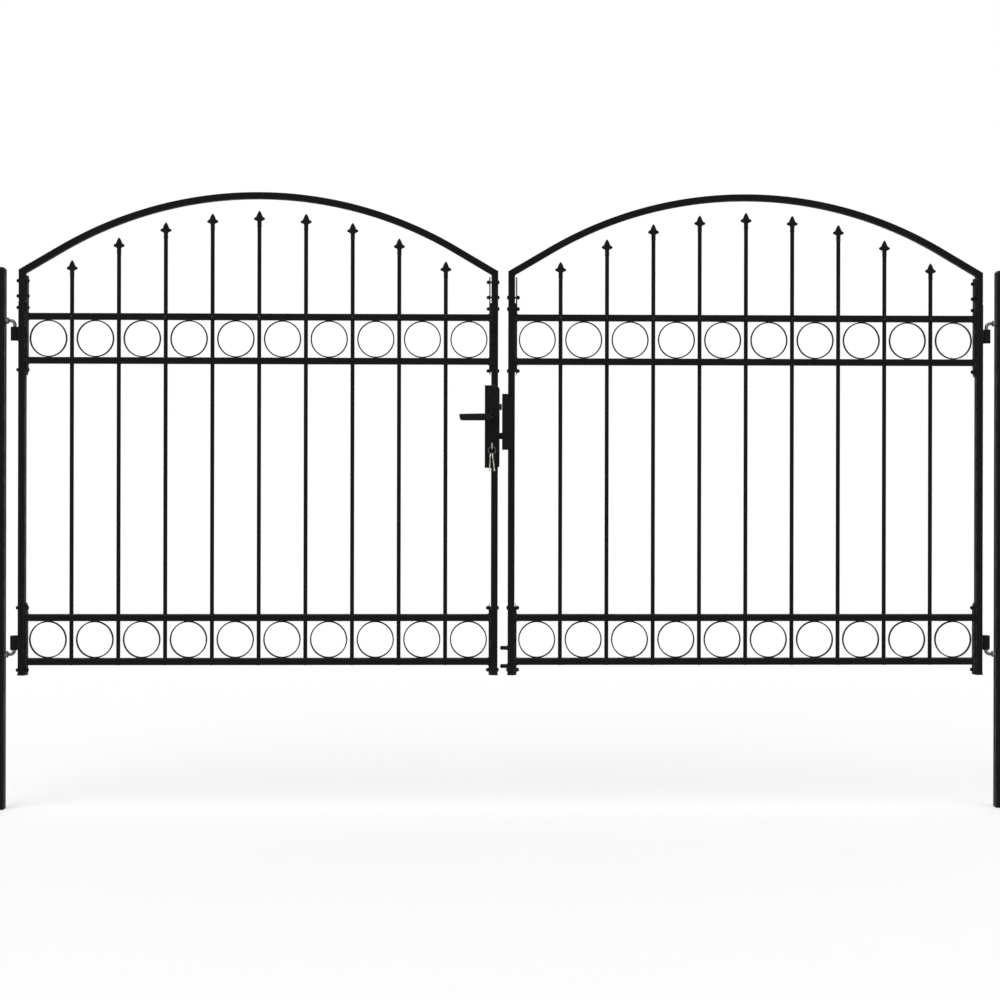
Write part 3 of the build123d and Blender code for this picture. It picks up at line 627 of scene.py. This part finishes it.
for side_name, middle, hinge_side in leaf_sides:
    for band, levels in rail_levels.items():
        shells, joined = [], []
        centre_z = sum(levels) / 2
        strip = rounded_outline(ring_thickness, 10.0, 0.9, 3)
        strip = strip + np.array([ring_outer - ring_thickness / 2, 0])
        for x in middle + ring_places:
            joined.append(len(shells))
            shells.append(turned(strip, (x, 0, centre_z), Z_AXIS, X_AXIS, 72))
            for edge in (-1, 1):
                for side in (-1, 1):
                    bead = (x + side * 4.6, centre_z + edge * (ring_outer - 0.5))
                    shells.append(weld_bead((bead[0], -4.4, bead[1]), (bead[0], 4.4, bead[1]),
                                            1.2, X_AXIS, 6))
        piece(f"{side_name}_{band}_ring_row", shells, coat, f"{side_name}_leaf",
              [f"{side_name}_{band}_rings"], joined=joined)


# BARS
# 12 mm round bar through punched holes in all four rails, standing on the lowest
# rail's floor. The coating leaves a small fillet where a bar goes through.
bar_radius = 6.0
bar_places = (np.arange(9) - 4) * ring_pitch
bar_low = 426.5
spear_length = 48.0
spear_clearance = 54.5
bar_highs = arch_line(spear_clearance, bar_places) - spear_length

for side_name, middle, hinge_side in leaf_sides:
    shells, joined = [], []
    for x, high in zip(middle + bar_places, bar_highs):
        shells.append(stacked(circle(np.full(2, bar_radius), 24), [bar_low, high], (x, 0, 0)))
        for levels in rail_levels.values():
            for level in levels:
                for edge in (-10.0, 10.0):
                    fillet = [(bar_radius - 0.2, edge - 0.8), (bar_radius + 0.9, edge - 0.2),
                              (bar_radius + 0.9, edge + 0.2), (bar_radius - 0.2, edge + 0.8)]
                    joined.append(len(shells))
                    shells.append(turned(fillet, (x, 0, level), X_AXIS, Y_AXIS, 20))
    piece(f"{side_name}_round_bars", shells, coat, f"{side_name}_leaf",
          [f"{side_name}_bars"], joined=joined)


# SPEARHEADS
# Cast iron heads driven onto the bars' ends: a round socket with a lip, two side
# lobes, and a ridged blade that narrows to a blunt tip.
spear_heights = np.array([0, 0.6, 2.4, 3.2, 15, 17.5, 19.2, 20.4, 21.6, 23, 24.5, 26, 27.3, 28.5, 29.8,
                          31.5, 34, 37, 40, 43, 45.5, 47.2, 48])
spear_half_widths = np.array([6.3, 6.9, 6.9, 6.5, 6.3, 7.0, 10.6, 14.0, 15.7, 16.4, 16.5, 16.2, 15.2, 13.2,
                              10.8, 9.3, 8.2, 7.3, 6.1, 4.4, 2.9, 1.6, 0.5])
spear_half_depths = np.array([6.3, 6.9, 6.9, 6.5, 6.3, 6.0, 5.6, 5.2, 4.9, 4.7, 4.5, 4.5, 4.6, 4.7,
                              4.8, 4.8, 4.6, 4.2, 3.6, 2.8, 2.0, 1.2, 0.5])


def spearhead(x, foot):
    """At every height a rounded diamond: the half width along a power of the cosine and the
    half depth along the same power of the sine. The power is 1 on the socket, a circle, and
    grows above it, which draws out the lobes and leaves a ridge down the blade."""
    height = np.sort(np.concatenate([spear_heights, (spear_heights[3:-1] + spear_heights[4:]) / 2]))
    width = np.interp(height, spear_heights, spear_half_widths)
    depth = np.interp(height, spear_heights, spear_half_depths)
    width[4:-2] = np.convolve(width, [0.25, 0.5, 0.25], "same")[4:-2]
    power = 1 + 0.45 * np.clip((height - 16) / 6, 0, 1)
    angle = np.arange(28) * 2 * np.pi / 28
    cosine = np.sign(np.cos(angle)) * np.abs(np.cos(angle)) ** power[:, None]
    sine = np.sign(np.sin(angle)) * np.abs(np.sin(angle)) ** power[:, None]
    outline = np.stack([width[:, None] * cosine, depth[:, None] * sine], -1)
    return stacked(outline, height, (x, 0, foot))


for side_name, middle, hinge_side in leaf_sides:
    heads = [spearhead(x, high) for x, high in zip(middle + bar_places, bar_highs)]
    piece(f"{side_name}_spearhead_castings", heads, coat, f"{side_name}_leaf",
          [f"{side_name}_spearheads"], crease=50)


# BAR RIVETS
# Blind rivets through the top rail's front wall into each bar, which keep the bars from
# turning. Their black domes show the bright end of the steel pin that was pulled and broke.
rivet_level = 1455.0
rivet_dome = [(3.3, -0.4), (3.3, 0.2), (3.05, 0.7), (2.3, 1.15), (1.6, 1.3), (1.35, 1.2), (1.2, 0.4),
              (0.2, 0.3)]
rivet_pin = [(1.1, 0.0), (1.1, 0.75), (0.95, 0.9), (0.5, 0.8), (0.15, 0.95)]

for side_name, middle, hinge_side in leaf_sides:
    for kind, profile, finish, slot in (("domes", rivet_dome, coat, "coated_steel"),
                                        ("pins", rivet_pin, zinc, "zinc")):
        shells = [turned(profile, (x, -10.0, rivet_level), X_AXIS, Z_AXIS, 20)
                  for x in middle + bar_places]
        piece(f"{side_name}_rivet_{kind}", shells, finish, f"{side_name}_leaf")


# BAND BOLTS
# Black M6 bolts through the stiles and arch legs into the bands' end plates: a domed
# head at one end, or a sunk one on the right hinge stile, and a nut on a washer at the
# other. The top bolt of the right leaf's meeting side was never put in.
bolt_levels = [1560.0, 1515.0, 1481.0, 1297.0, 594.0, 410.0]
bolt_point = [(2.9, 0), (2.9, 1.0), (2.4, 1.7), (1.6, 2.0), (0.3, 2.1)]
domed_head = [(6.0, 0.0), (6.0, 0.8), (5.6, 1.9), (4.7, 3.0), (3.4, 3.7), (1.9, 4.1), (0.3, 4.2)]
sunk_head = [(5.6, -0.3), (5.6, 0.1), (5.2, 0.35), (2.0, 0.4), (1.7, 0.15), (0.3, 0.15)]
washer_profile = [(6.1, 0), (6.3, 0.25), (6.3, 0.95), (6.1, 1.2)]


def along_x(sign):
    """The two directions whose cross product points along +X or -X."""
    return (Y_AXIS, Z_AXIS) if sign > 0 else (Z_AXIS, Y_AXIS)


def bolt(level, nut_x, nut_way, head_x, head):
    """A bolt along X: a washer, the nut and the bolt's point from nut_x, and the head on the
    other side, from head_x."""
    shells = []
    across, over = along_x(nut_way)
    shells.append(turned(washer_profile, (nut_x, 0, level), across, over, 24))
    shells.append(nut((nut_x + nut_way * 1.1, 0, level), across, over, 10.0, 5.2, 24))
    shells.append(turned(bolt_point, (nut_x + nut_way * 6.2, 0, level), across, over, 16))
    shells.append(turned(head, (head_x, 0, level), *along_x(-nut_way), 24))
    low, high = sorted((nut_x, head_x))
    shells.append(turned([(3.0, 0), (3.0, high - low)], (low, 0, level), Y_AXIS, Z_AXIS, 12))
    return shells


for side_name, middle, hinge_side in leaf_sides:
    shells = []
    for side in (-1, 1):
        outer = middle + side * leaf_half
        inner = middle + side * rail_half
        at_hinge = side == hinge_side
        head = sunk_head if side_name == "right" and at_hinge else domed_head
        levels = bolt_levels[1:] if side_name == "right" and not at_hinge else bolt_levels
        for level in levels:
            if side_name == "left" and at_hinge:
                shells += bolt(level, outer, side, inner, head)
            else:
                shells += bolt(level, inner, -side, outer, head)
    piece(f"{side_name}_band_bolts", shells, coat, f"{side_name}_leaf", crease=28)


# LOCK CASE
# A folded steel case welded between two lengths of the left leaf's meeting stile. The
# CAD part is right as it is, so it is only coated here.
for cad_part in ("lock_case", "keeper"):
    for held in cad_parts[cad_part].material_slots:
        held.material = coat

weld_shells = []
for level in (lock_low, lock_high):
    for y in (-11.8, 11.8):
        weld_shells.append(weld_bead((1451.5, y, level), (1468.5, y, level), 1.5, Y_AXIS))
piece("lock_case_welds", weld_shells, coat, "left_leaf")


# LOCK PLATES
# Long pressed plates with round corners over the case, outside and inside, held by two
# countersunk screws through the case. A rose guides the lever's neck.
plate_middle_x = 1458.9
plate_width = 31.8
plate_height = 241.0
plate_corner = 9.0
plate_level = 1130.0
spindle_x = 1452.0
spindle_level = 1160.0
stile_face = 12.5


def facing(face):
    """Across and over so that height runs outwards from the leaf's outer or inner face."""
    return (X_AXIS, Z_AXIS) if face < 0 else (Z_AXIS, X_AXIS)


def lock_plate(face):
    """A round-cornered outline stacked outwards, pulled in a little at its outer edge."""
    across, over = facing(face)
    inset = np.array([0.0, 0.0, 0.25, 0.7, 1.3])
    height = np.array([0.0, 1.5, 2.1, 2.4, 2.5])
    sizes = (plate_width, plate_height) if face < 0 else (plate_height, plate_width)
    outlines = [rounded_outline(sizes[0] - 2 * i, sizes[1] - 2 * i, plate_corner - i, 9)
                for i in inset]
    return stacked(outlines, height, (plate_middle_x, face * stile_face, plate_level), across, over)


rose_profile = [(8.9, 0.0), (14.0, 0.0), (14.0, 1.2), (13.4, 1.9), (12.0, 2.3), (9.6, 2.5), (8.9, 2.3)]


def socket_screw(centre, across, over, radius):
    """A low round head with a cross recess: rings shrink to the recess's outline, a circle
    drawn in towards four arms, and then go down to its floor."""
    angle = np.arange(32) * 2 * np.pi / 32
    unit = np.stack([np.cos(angle), np.sin(angle)], 1)
    arms = (0.2 + 0.32 * np.abs(np.cos(2 * angle)) ** 3)[:, None]
    rims = np.array([1.0, 1.0, 0.93, 0.75])[:, None, None]
    outlines = np.concatenate([rims * unit, arms[None] * unit, 0.8 * arms[None] * unit]) * radius
    return stacked(outlines, np.array([-0.2, 0.25, 0.6, 0.85, 0.9, 0.1]), centre, across, over)


for face, name in ((-1, "front"), (1, "back")):
    across, over = facing(face)
    top = face * (stile_face + 2.5)
    shells = [lock_plate(face)]
    shells.append(turned(rose_profile, (spindle_x, top, spindle_level), across, over, 48))
    for level in (plate_level + 108, plate_level - 108):
        shells.append(socket_screw((plate_middle_x, top, level), across, over, 4.2))
    piece(f"lock_{name}_plate_and_rose", shells, coat, "left_leaf",
          [f"lock_{name}_plate"], joined=[1])


# LEVERS
# Die cast black levers, one on each face, on a square spindle. The round neck turns in
# the rose and runs into a flat grip whose tip comes back towards the plate.
lever_out = 52.4
lever_start = 15.4
lever_tip = 1353.6
lever_bend = 14.0


def lever_black():
    """Black stoved enamel on a die casting: smoother and glossier than the powder coat."""
    material, tree, shader, place = new_finish("black_handle_enamel")
    patches = noise_of(tree, place, 55.0)
    handled = noise_of(tree, place, 240.0, detail=4.0)
    rubbed_and_highlit = times(tree, put(tree, "Attribute", attribute_name="wear_and_highlight").outputs["Fac"], handled)
    base = blend_of(tree, patches, (0.003, 0.003, 0.0032), (0.0052, 0.0052, 0.0054))
    worn_and_highlit = blend_of(tree, times(tree, rubbed_and_highlit, 0.5), base, (0.06, 0.06, 0.062))
    tree.links.new(worn_and_highlit, shader.inputs["Base Color"])
    gloss = put(tree, "MapRange", {0: handled, 3: 0.24, 4: 0.4})
    tree.links.new(gloss.outputs[0], shader.inputs["Roughness"])
    shader.inputs["Specular IOR Level"].default_value = 0.12
    ripple = put(tree, "TexNoise", {"Vector": place, "Scale": 900.0, "Detail": 2.0})
    bump = put(tree, "Bump", {"Strength": 0.12, "Distance": 0.0001, "Height": ripple.outputs[0]})
    tree.links.new(bump.outputs[0], shader.inputs["Normal"])
    return material


enamel = lever_black()


def lever(face):
    """One outline carried out of the plate, round a quarter bend, along the grip and back
    at its tip. Its half sizes blend from the round neck to the flat grip, which is a little
    lower at its tip, and its points follow a power of the cosine and sine that squares the
    grip's section. Near the tip, points move inwards by a share of their depth below the
    top, which cuts the end on the slant."""
    bend = np.linspace(0, np.pi / 2, 9)
    neck = np.array([[spindle_x, lever_start], [spindle_x, lever_start + 0.6],
                     [spindle_x, lever_out - lever_bend]])
    elbow = np.stack([spindle_x - lever_bend * (1 - np.cos(bend)),
                      lever_out - lever_bend * (1 - np.sin(bend))], 1)[1:]
    grip = np.stack([np.linspace(1430, lever_tip + 14, 7), np.full(7, lever_out)], 1)
    back = np.linspace(0, 1.1, 6)[1:]
    tip = np.stack([lever_tip + 10 - 8 * np.sin(back), lever_out - 8 * (1 - np.cos(back))], 1)
    flat = np.concatenate([neck, elbow, grip, tip])
    run = np.clip((spindle_x - flat[:, 0]) / 26, 0, 1)
    share = run * run * (3 - 2 * run)
    half_depth = 8.5 + (5.6 - 8.5) * share
    half_height = 8.5 + (10.6 - 8.5) * share - 0.7 * np.clip((1430 - flat[:, 0]) / 70, 0, 1)
    level = spindle_level + np.maximum(half_height - 9.9, 0)
    path = np.stack([flat[:, 0], face * flat[:, 1], level], 1)
    half_depth[-4:] *= np.array([0.97, 0.9, 0.76, 0.5])
    half_height[-4:] *= np.array([0.99, 0.95, 0.86, 0.62])
    power = 1 - 0.5 * share[:, None]
    angle = np.arange(40) * 2 * np.pi / 40
    cosine = np.sign(np.cos(angle)) * np.abs(np.cos(angle)) ** power
    sine = np.sign(np.sin(angle)) * np.abs(np.sin(angle)) ** power
    outline = np.stack([half_depth[:, None] * cosine, half_height[:, None] * sine], -1)
    shell = carried(path, outline, Z_AXIS)
    near_tip = np.clip((lever_tip + 16 - flat[:, 0]) / 12, 0, 1)[:, None]
    shell[..., 0] += 0.22 * near_tip * (spindle_level + 9.9 - shell[..., 2])
    return shell


piece("front_lever_casting", [lever(-1)], enamel, "lever", ["front_lever"], crease=45)
piece("back_lever_casting", [lever(1)], enamel, "lever", ["back_lever"], crease=45)
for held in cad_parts["lever_spindle"].material_slots:
    held.material = zinc


# LATCH TONGUE
# A sintered steel tongue with a slanted nose, plated but left matt. The CAD part is
# right as it is.
def matt_plate():
    """Plated sintered steel: a dull grey of fine pores, polished in streaks where the nose
    rides on the keeper."""
    material, tree, shader, place = new_finish("matt_plated_steel")
    pores = noise_of(tree, place, 1400.0, detail=3.0)
    along = put(tree, "Mapping", {"Vector": place, "Scale": (200.0, 200.0, 1600.0)})
    streaks = put(tree, "TexNoise", {"Vector": along.outputs[0], "Scale": 1.0, "Detail": 2.0})
    polished = put(tree, "MapRange", {0: streaks.outputs[0], 1: 0.5, 2: 0.72})
    base = blend_of(tree, pores, (0.16, 0.16, 0.163), (0.27, 0.267, 0.262))
    bright = blend_of(tree, times(tree, polished.outputs[0], 0.6), base, (0.42, 0.42, 0.42))
    tree.links.new(bright, shader.inputs["Base Color"])
    shader.inputs["Metallic"].default_value = 0.3
    gloss = put(tree, "MapRange", {0: pores, 3: 0.45, 4: 0.65})
    tree.links.new(gloss.outputs[0], shader.inputs["Roughness"])
    bump = put(tree, "Bump", {"Strength": 0.25, "Distance": 0.0001, "Height": pores})
    tree.links.new(bump.outputs[0], shader.inputs["Normal"])
    return material


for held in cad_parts["latch_tongue"].material_slots:
    held.material = matt_plate()


# LOCK CYLINDER
# A profile cylinder, enamelled black like the levers: a round plug over a narrower
# foot, a little proud of both plates, with a keyway at each end. The key is in the outer.
cylinder_level = 1075.0
cylinder_out = 18.5
plug_radius = 8.5
foot_half = 5.0
foot_drop = 24.5


def profile_outline(points=24):
    """Most of a circle, broken at its foot by two straight sides and a half-round end."""
    gap = math.asin(foot_half / plug_radius)
    upper = np.linspace(-np.pi / 2 + gap, 3 * np.pi / 2 - gap, points)
    lower = np.linspace(np.pi, 2 * np.pi, points // 2)
    plug = plug_radius * np.stack([np.cos(upper), np.sin(upper)], 1)
    foot = foot_half * np.stack([np.cos(lower), np.sin(lower)], 1) + [0, foot_half - foot_drop]
    return np.concatenate([plug, foot])


def slot_outline(length, width, count=32):
    """A round-ended slot whose points face the same angles as a circle's."""
    angle = np.arange(count) * 2 * np.pi / count
    x = width / 2 * np.clip(1.6 * np.cos(angle), -1, 1)
    z = length / 2 * np.clip(1.15 * np.sin(angle), -1, 1)
    return np.stack([x, z], 1)


body_outline = profile_outline()
cylinder_shells = [stacked([body_outline * 0.97, body_outline, body_outline, body_outline * 0.97],
                           [-cylinder_out, 0.4 - cylinder_out, cylinder_out - 0.4, cylinder_out],
                           (spindle_x, 0, cylinder_level), X_AXIS, Z_AXIS)]
for face in (-1, 1):
    across, over = facing(face)
    slot = slot_outline(8.6, 2.9)
    if face > 0:
        slot = slot[:, ::-1]
    rims = [circle(6.6, 32), circle(6.6, 32), circle(6.3, 32), slot * 1.06, slot, slot]
    cylinder_shells.append(stacked(rims, [-0.3, 0.2, 0.45, 0.45, 0.2, -0.2],
                                   (spindle_x, face * cylinder_out, cylinder_level), across, over))
piece("lock_cylinder_body", cylinder_shells, enamel, "left_leaf", ["lock_cylinder"])


# KEYS
# Stamped and nickel plated steel keys: one in the lock, and two spares hung on a split
# ring through its bow. The blades are cut on one edge; their side groove is left out.
key_half_thickness = 1.15
bow_radius = 12.0
key_hole = 3.5
hole_offset = 6.3
key_length = 56.0
hole_y = -39.8
spare_tilt = math.radians(5.5)
spare_turn = math.radians(12.0)
spare_spread = 2.8
spare_hang = 1049.98


def nickel_plate():
    """Bright nickel: warm grey metal with fine drawn scratches and fingerprints."""
    material, tree, shader, place = new_finish("nickel_plate")
    drawn = put(tree, "Mapping", {"Vector": place, "Scale": (3000.0, 3000.0, 260.0)})
    scratches = put(tree, "TexNoise", {"Vector": drawn.outputs[0], "Scale": 1.0, "Detail": 3.0})
    prints = noise_of(tree, place, 130.0, detail=2.0)
    base = blend_of(tree, prints, (0.47, 0.455, 0.43), (0.62, 0.605, 0.58))
    tree.links.new(base, shader.inputs["Base Color"])
    shader.inputs["Metallic"].default_value = 1.0
    gloss = put(tree, "MapRange", {0: scratches.outputs[0], 3: 0.16, 4: 0.42})
    tree.links.new(gloss.outputs[0], shader.inputs["Roughness"])
    bump = put(tree, "Bump", {"Strength": 0.15, "Distance": 0.00005, "Height": scratches.outputs[0]})
    tree.links.new(bump.outputs[0], shader.inputs["Normal"])
    return material


nickel = nickel_plate()


def key_shells(hole, along, over, blade_end):
    """Two shells from the hole's centre: the bow, whose rings run from the round hole to a
    softly four-sided outline and back, and the blade, whose one edge steps in and out by
    the depths of its cuts."""
    hole = np.asarray(hole, float)
    angle = np.arange(40) * 2 * np.pi / 40
    unit = np.stack([np.cos(angle), np.sin(angle)], 1)
    outer = (bow_radius * (1 - 0.035 * np.cos(4 * angle) ** 2))[:, None] * unit + [hole_offset, 0]
    inner = key_hole * unit
    rim = outer + (inner - outer) * 0.06
    t = key_half_thickness
    bow = stacked([inner, rim, outer, outer, rim, inner],
                  [-t, -t, 0.4 - t, t - 0.4, t, t], hole, along, over)
    start = hole_offset + bow_radius - 2
    cuts = np.array([0, 0, 1.6, 0.7, 0.7, 2.4, 1.2, 2.8, 0.9, 1.8, 1.8, 0.5, 0.5])
    reach = np.linspace(start + 9, blade_end - 3, len(cuts))
    low = np.stack([reach, cuts - 4.0], 1)
    outline = np.concatenate([[[start, 3.9], [start, -4.0]], low,
                              [[blade_end - 1.6, -2.6], [blade_end, 0.4], [blade_end - 2.4, 3.4]]])
    blade_t = t - 0.1
    blade = stacked(outline, [-blade_t, blade_t], hole, along, over)
    return [bow, blade]


key_in_lock = key_shells((spindle_x, hole_y, cylinder_level), Y_AXIS, Z_AXIS, 47.0)
piece("key_in_cylinder", key_in_lock, nickel, "left_leaf", ["key"], joined=[0])

spare_shells = []
for side in (-1, 1):
    along = np.array([side * math.sin(spare_tilt), 0, -math.cos(spare_tilt)])
    level_way = np.cross(along, Y_AXIS)
    over = math.cos(spare_turn) * Y_AXIS + math.sin(spare_turn) * level_way
    hole = (spindle_x + side * spare_spread, hole_y, spare_hang)
    spare_shells += key_shells(hole, along, over, key_length - 5.7)
piece("spare_keys_on_ring", spare_shells, nickel, "key_bunch", ["spare_keys"], joined=[0, 2])



# KEY RING
# Two turns of flat spring wire, darker than the keys because it is blued and not
# plated. It hangs in the bow of the key in the lock, and the spares hang on it.
ring_centre_z = 1062.1


def blued_wire():
    """Blued spring steel: near black with a bluish cast, rubbed to bare steel on its edges."""
    material, tree, shader, place = new_finish("blued_spring_steel")
    film = noise_of(tree, place, 420.0, detail=3.0)
    base = blend_of(tree, film, (0.05, 0.052, 0.06), (0.1, 0.1, 0.105))
    rubbed_and_highlit = times(tree, put(tree, "Attribute", attribute_name="wear_and_highlight").outputs["Fac"], film)
    bare = blend_of(tree, times(tree, rubbed_and_highlit, 0.7), base, (0.3, 0.3, 0.3))
    tree.links.new(bare, shader.inputs["Base Color"])
    shader.inputs["Metallic"].default_value = 0.9
    gloss = put(tree, "MapRange", {0: film, 3: 0.28, 4: 0.46})
    tree.links.new(gloss.outputs[0], shader.inputs["Roughness"])
    return material


coil = np.linspace(0.15, 4 * np.pi - 0.15, 121)
coil_path = np.stack([spindle_x + 11 * np.cos(coil), hole_y + 0.52 * np.clip((coil - 2 * np.pi) / 1.2, -1, 1),
                      ring_centre_z + 11 * np.sin(coil)], 1)
piece("split_ring", [carried(coil_path, rounded_outline(2.0, 0.98, 0.4, 3), Y_AXIS)], blued_wire(),
      "key_bunch", ["key_ring"])


# KEEPER BUFFER
# A moulded rubber block on the keeper's face, which stops the left leaf's lock edge
# without a clang. Its front is crowned a little and its corners are round.
buffer_level = 1104.0
keeper_face = 1482.5


def soft_rubber():
    """Matt black rubber: greyish bloom in patches and a coarse, dry grain."""
    material, tree, shader, place = new_finish("buffer_rubber")
    bloom = noise_of(tree, place, 220.0, detail=4.0)
    base = blend_of(tree, bloom, (0.006, 0.006, 0.006), (0.012, 0.012, 0.0117))
    tree.links.new(base, shader.inputs["Base Color"])
    gloss = put(tree, "MapRange", {0: bloom, 3: 0.7, 4: 0.86})
    tree.links.new(gloss.outputs[0], shader.inputs["Roughness"])
    shader.inputs["Specular IOR Level"].default_value = 0.1
    grain = put(tree, "TexNoise", {"Vector": place, "Scale": 1500.0, "Detail": 4.0})
    bump = put(tree, "Bump", {"Strength": 0.35, "Distance": 0.0001, "Height": grain.outputs[0]})
    tree.links.new(bump.outputs[0], shader.inputs["Normal"])
    return material


rubber = soft_rubber()
pad_inset = np.array([0.0, 0.0, 0.3, 0.9, 1.9])
pad_height = np.array([0.0, 5.6, 6.6, 7.2, 7.5])
pad_outlines = [rounded_outline(19.0 - 2 * i, 14.0 - 2 * i, 2.4) for i in pad_inset]
piece("keeper_buffer_pad", [stacked(pad_outlines, pad_height, (keeper_face, 0, buffer_level), Z_AXIS, Y_AXIS)],
      rubber, "right_leaf", ["keeper_buffer"])


# KEEPER SCREWS AND WELDS
# The keeper's front plate laps the right meeting stile and is held by two screws; the
# folded box behind it is tacked to the stile's edge.
keeper_shells = [socket_screw((1511.0, -15.0, level), X_AXIS, Z_AXIS, 3.8) for level in (1077.0, 1215.0)]
keeper_shells += [weld_bead((1499.6, 11.0, level - 12), (1499.6, 11.0, level + 12), 1.5, X_AXIS)
                  for level in (1085.0, 1146.0, 1207.0)]
piece("keeper_screws_and_tacks", keeper_shells, coat, "right_leaf")


# DROP ROD LUGS
# Two flat eyes welded to the right meeting stile's foot, one over the other, through
# which the bolt that holds the leaf to the ground would drop.
lug_levels = [421.0, 475.0]
lug_eye_x = 1486.0
lug_half = 8.0
lug_bore = 5.5


def lug(level):
    """Rings from the bore's circle to an outline that is a half circle on the free side and
    straight to the stile on the other, and back on the far face, with eased edges."""
    angle = np.arange(48) * 2 * np.pi / 48
    unit = np.stack([np.cos(angle), np.sin(angle)], 1)
    reach = 1500.3 - lug_eye_x
    scale = np.minimum(lug_half / np.maximum(np.abs(np.sin(angle)), 1e-6),
                       reach / np.maximum(np.cos(angle), 1e-6))
    outer = np.where(unit[:, :1] > 0, scale[:, None] * unit, lug_half * unit)
    bore = lug_bore * unit
    rim = outer * 0.94
    return stacked([bore, bore * 1.1, rim, outer, outer, rim, bore * 1.1, bore],
                   [-4.6, -5, -5, -4.4, 4.4, 5, 5, 4.6], (lug_eye_x, 0, level))


lug_shells = [lug(level) for level in lug_levels]
for level in lug_levels:
    for edge in (-5.4, 5.4):
        lug_shells.append(weld_bead((1499.4, -7, level + edge), (1499.4, 7, level + edge), 1.8, X_AXIS))
piece("drop_rod_eyes", lug_shells, coat, "right_leaf", ["drop_rod_lugs"], joined=[0, 1])


# FLOOR AND LIGHT
# A pale floor under a plain white surround. The floor and the surround show white to
# the eye and in reflections, and the floor keeps the gate's soft shadow.
floor_mesh = bpy.data.meshes.new("pale_floor")
floor_reach = 60.0
floor_mesh.from_pydata([(-floor_reach, -floor_reach, 0), (floor_reach, -floor_reach, 0),
                        (floor_reach, floor_reach, 0), (-floor_reach, floor_reach, 0)], [], [(0, 1, 2, 3)])
floor = bpy.data.objects.new("pale_floor", floor_mesh)
bpy.context.scene.collection.objects.link(floor)


def seen_directly(tree):
    """1 on a ray from the camera, in a mirror or through glass, and 0 on light that spreads."""
    rays = put(tree, "LightPath")
    kinds = [rays.outputs[f"Is {kind} Ray"] for kind in ("Camera", "Glossy", "Transmission")]
    first = put(tree, "Math", {0: kinds[0], 1: kinds[1]}, operation="MAXIMUM")
    return put(tree, "Math", {0: first.outputs[0], 1: kinds[2]}, operation="MAXIMUM").outputs[0]


floor_paint = bpy.data.materials.new("pale_floor_paint")
floor_paint.use_nodes = True
tree = floor_paint.node_tree
tree.nodes.clear()
matt = put(tree, "BsdfDiffuse", {"Color": (0.8, 0.8, 0.8, 1)})
lift = put(tree, "Emission", {"Color": (1, 1, 1, 1), "Strength": times(tree, seen_directly(tree), 0.24)})
both = put(tree, "AddShader", {0: matt.outputs[0], 1: lift.outputs[0]})
put(tree, "OutputMaterial", {"Surface": both.outputs[0]})
floor_mesh.materials.append(floor_paint)

world = bpy.data.worlds.new("studio_surround")
bpy.context.scene.world = world
world.use_nodes = True
tree = world.node_tree
tree.nodes.clear()
plain = put(tree, "Background", {"Color": (1, 1, 1, 1), "Strength": 0.5})
shown = put(tree, "Background", {"Color": (1, 1, 1, 1), "Strength": 1.0})
mixed = put(tree, "MixShader", {0: seen_directly(tree), 1: plain.outputs[0], 2: shown.outputs[0]})
put(tree, "OutputWorld", {"Surface": mixed.outputs[0]})


def soft_lamp(name, stands, strength, spread):
    """A distant lamp, even over the whole floor, that shines from where it stands towards
    the origin. Its spread in degrees softens the shadow's edge."""
    lamp = bpy.data.lights.new(name, "SUN")
    lamp.energy = strength
    lamp.angle = math.radians(spread)
    made = bpy.data.objects.new(name, lamp)
    bpy.context.scene.collection.objects.link(made)
    flat = math.hypot(stands[0], stands[1])
    made.rotation_euler = (math.atan2(flat, stands[2]), 0, math.atan2(stands[0], -stands[1]))
    return made


soft_lamp("key_lamp", (-2.5, -3.5, 5.0), 0.9, 45.0)
soft_lamp("fill_lamp", (3.5, -3.0, 4.0), 0.5, 60.0)
soft_lamp("back_lamp", (0.5, 4.0, 4.0), 0.6, 60.0)

camera = bpy.data.cameras.new("photo_view")
camera.sensor_width = 36.0
camera.lens = 60.63
camera.shift_y = -0.085
viewer = bpy.data.objects.new("photo_view", camera)
bpy.context.scene.collection.objects.link(viewer)
viewer.location = (1.3847, -5.0, 1.1663)
viewer.rotation_euler = (math.pi / 2, math.radians(-0.121), math.radians(-1.047))
bpy.context.scene.camera = viewer
bpy.context.scene.view_settings.view_transform = "Standard"
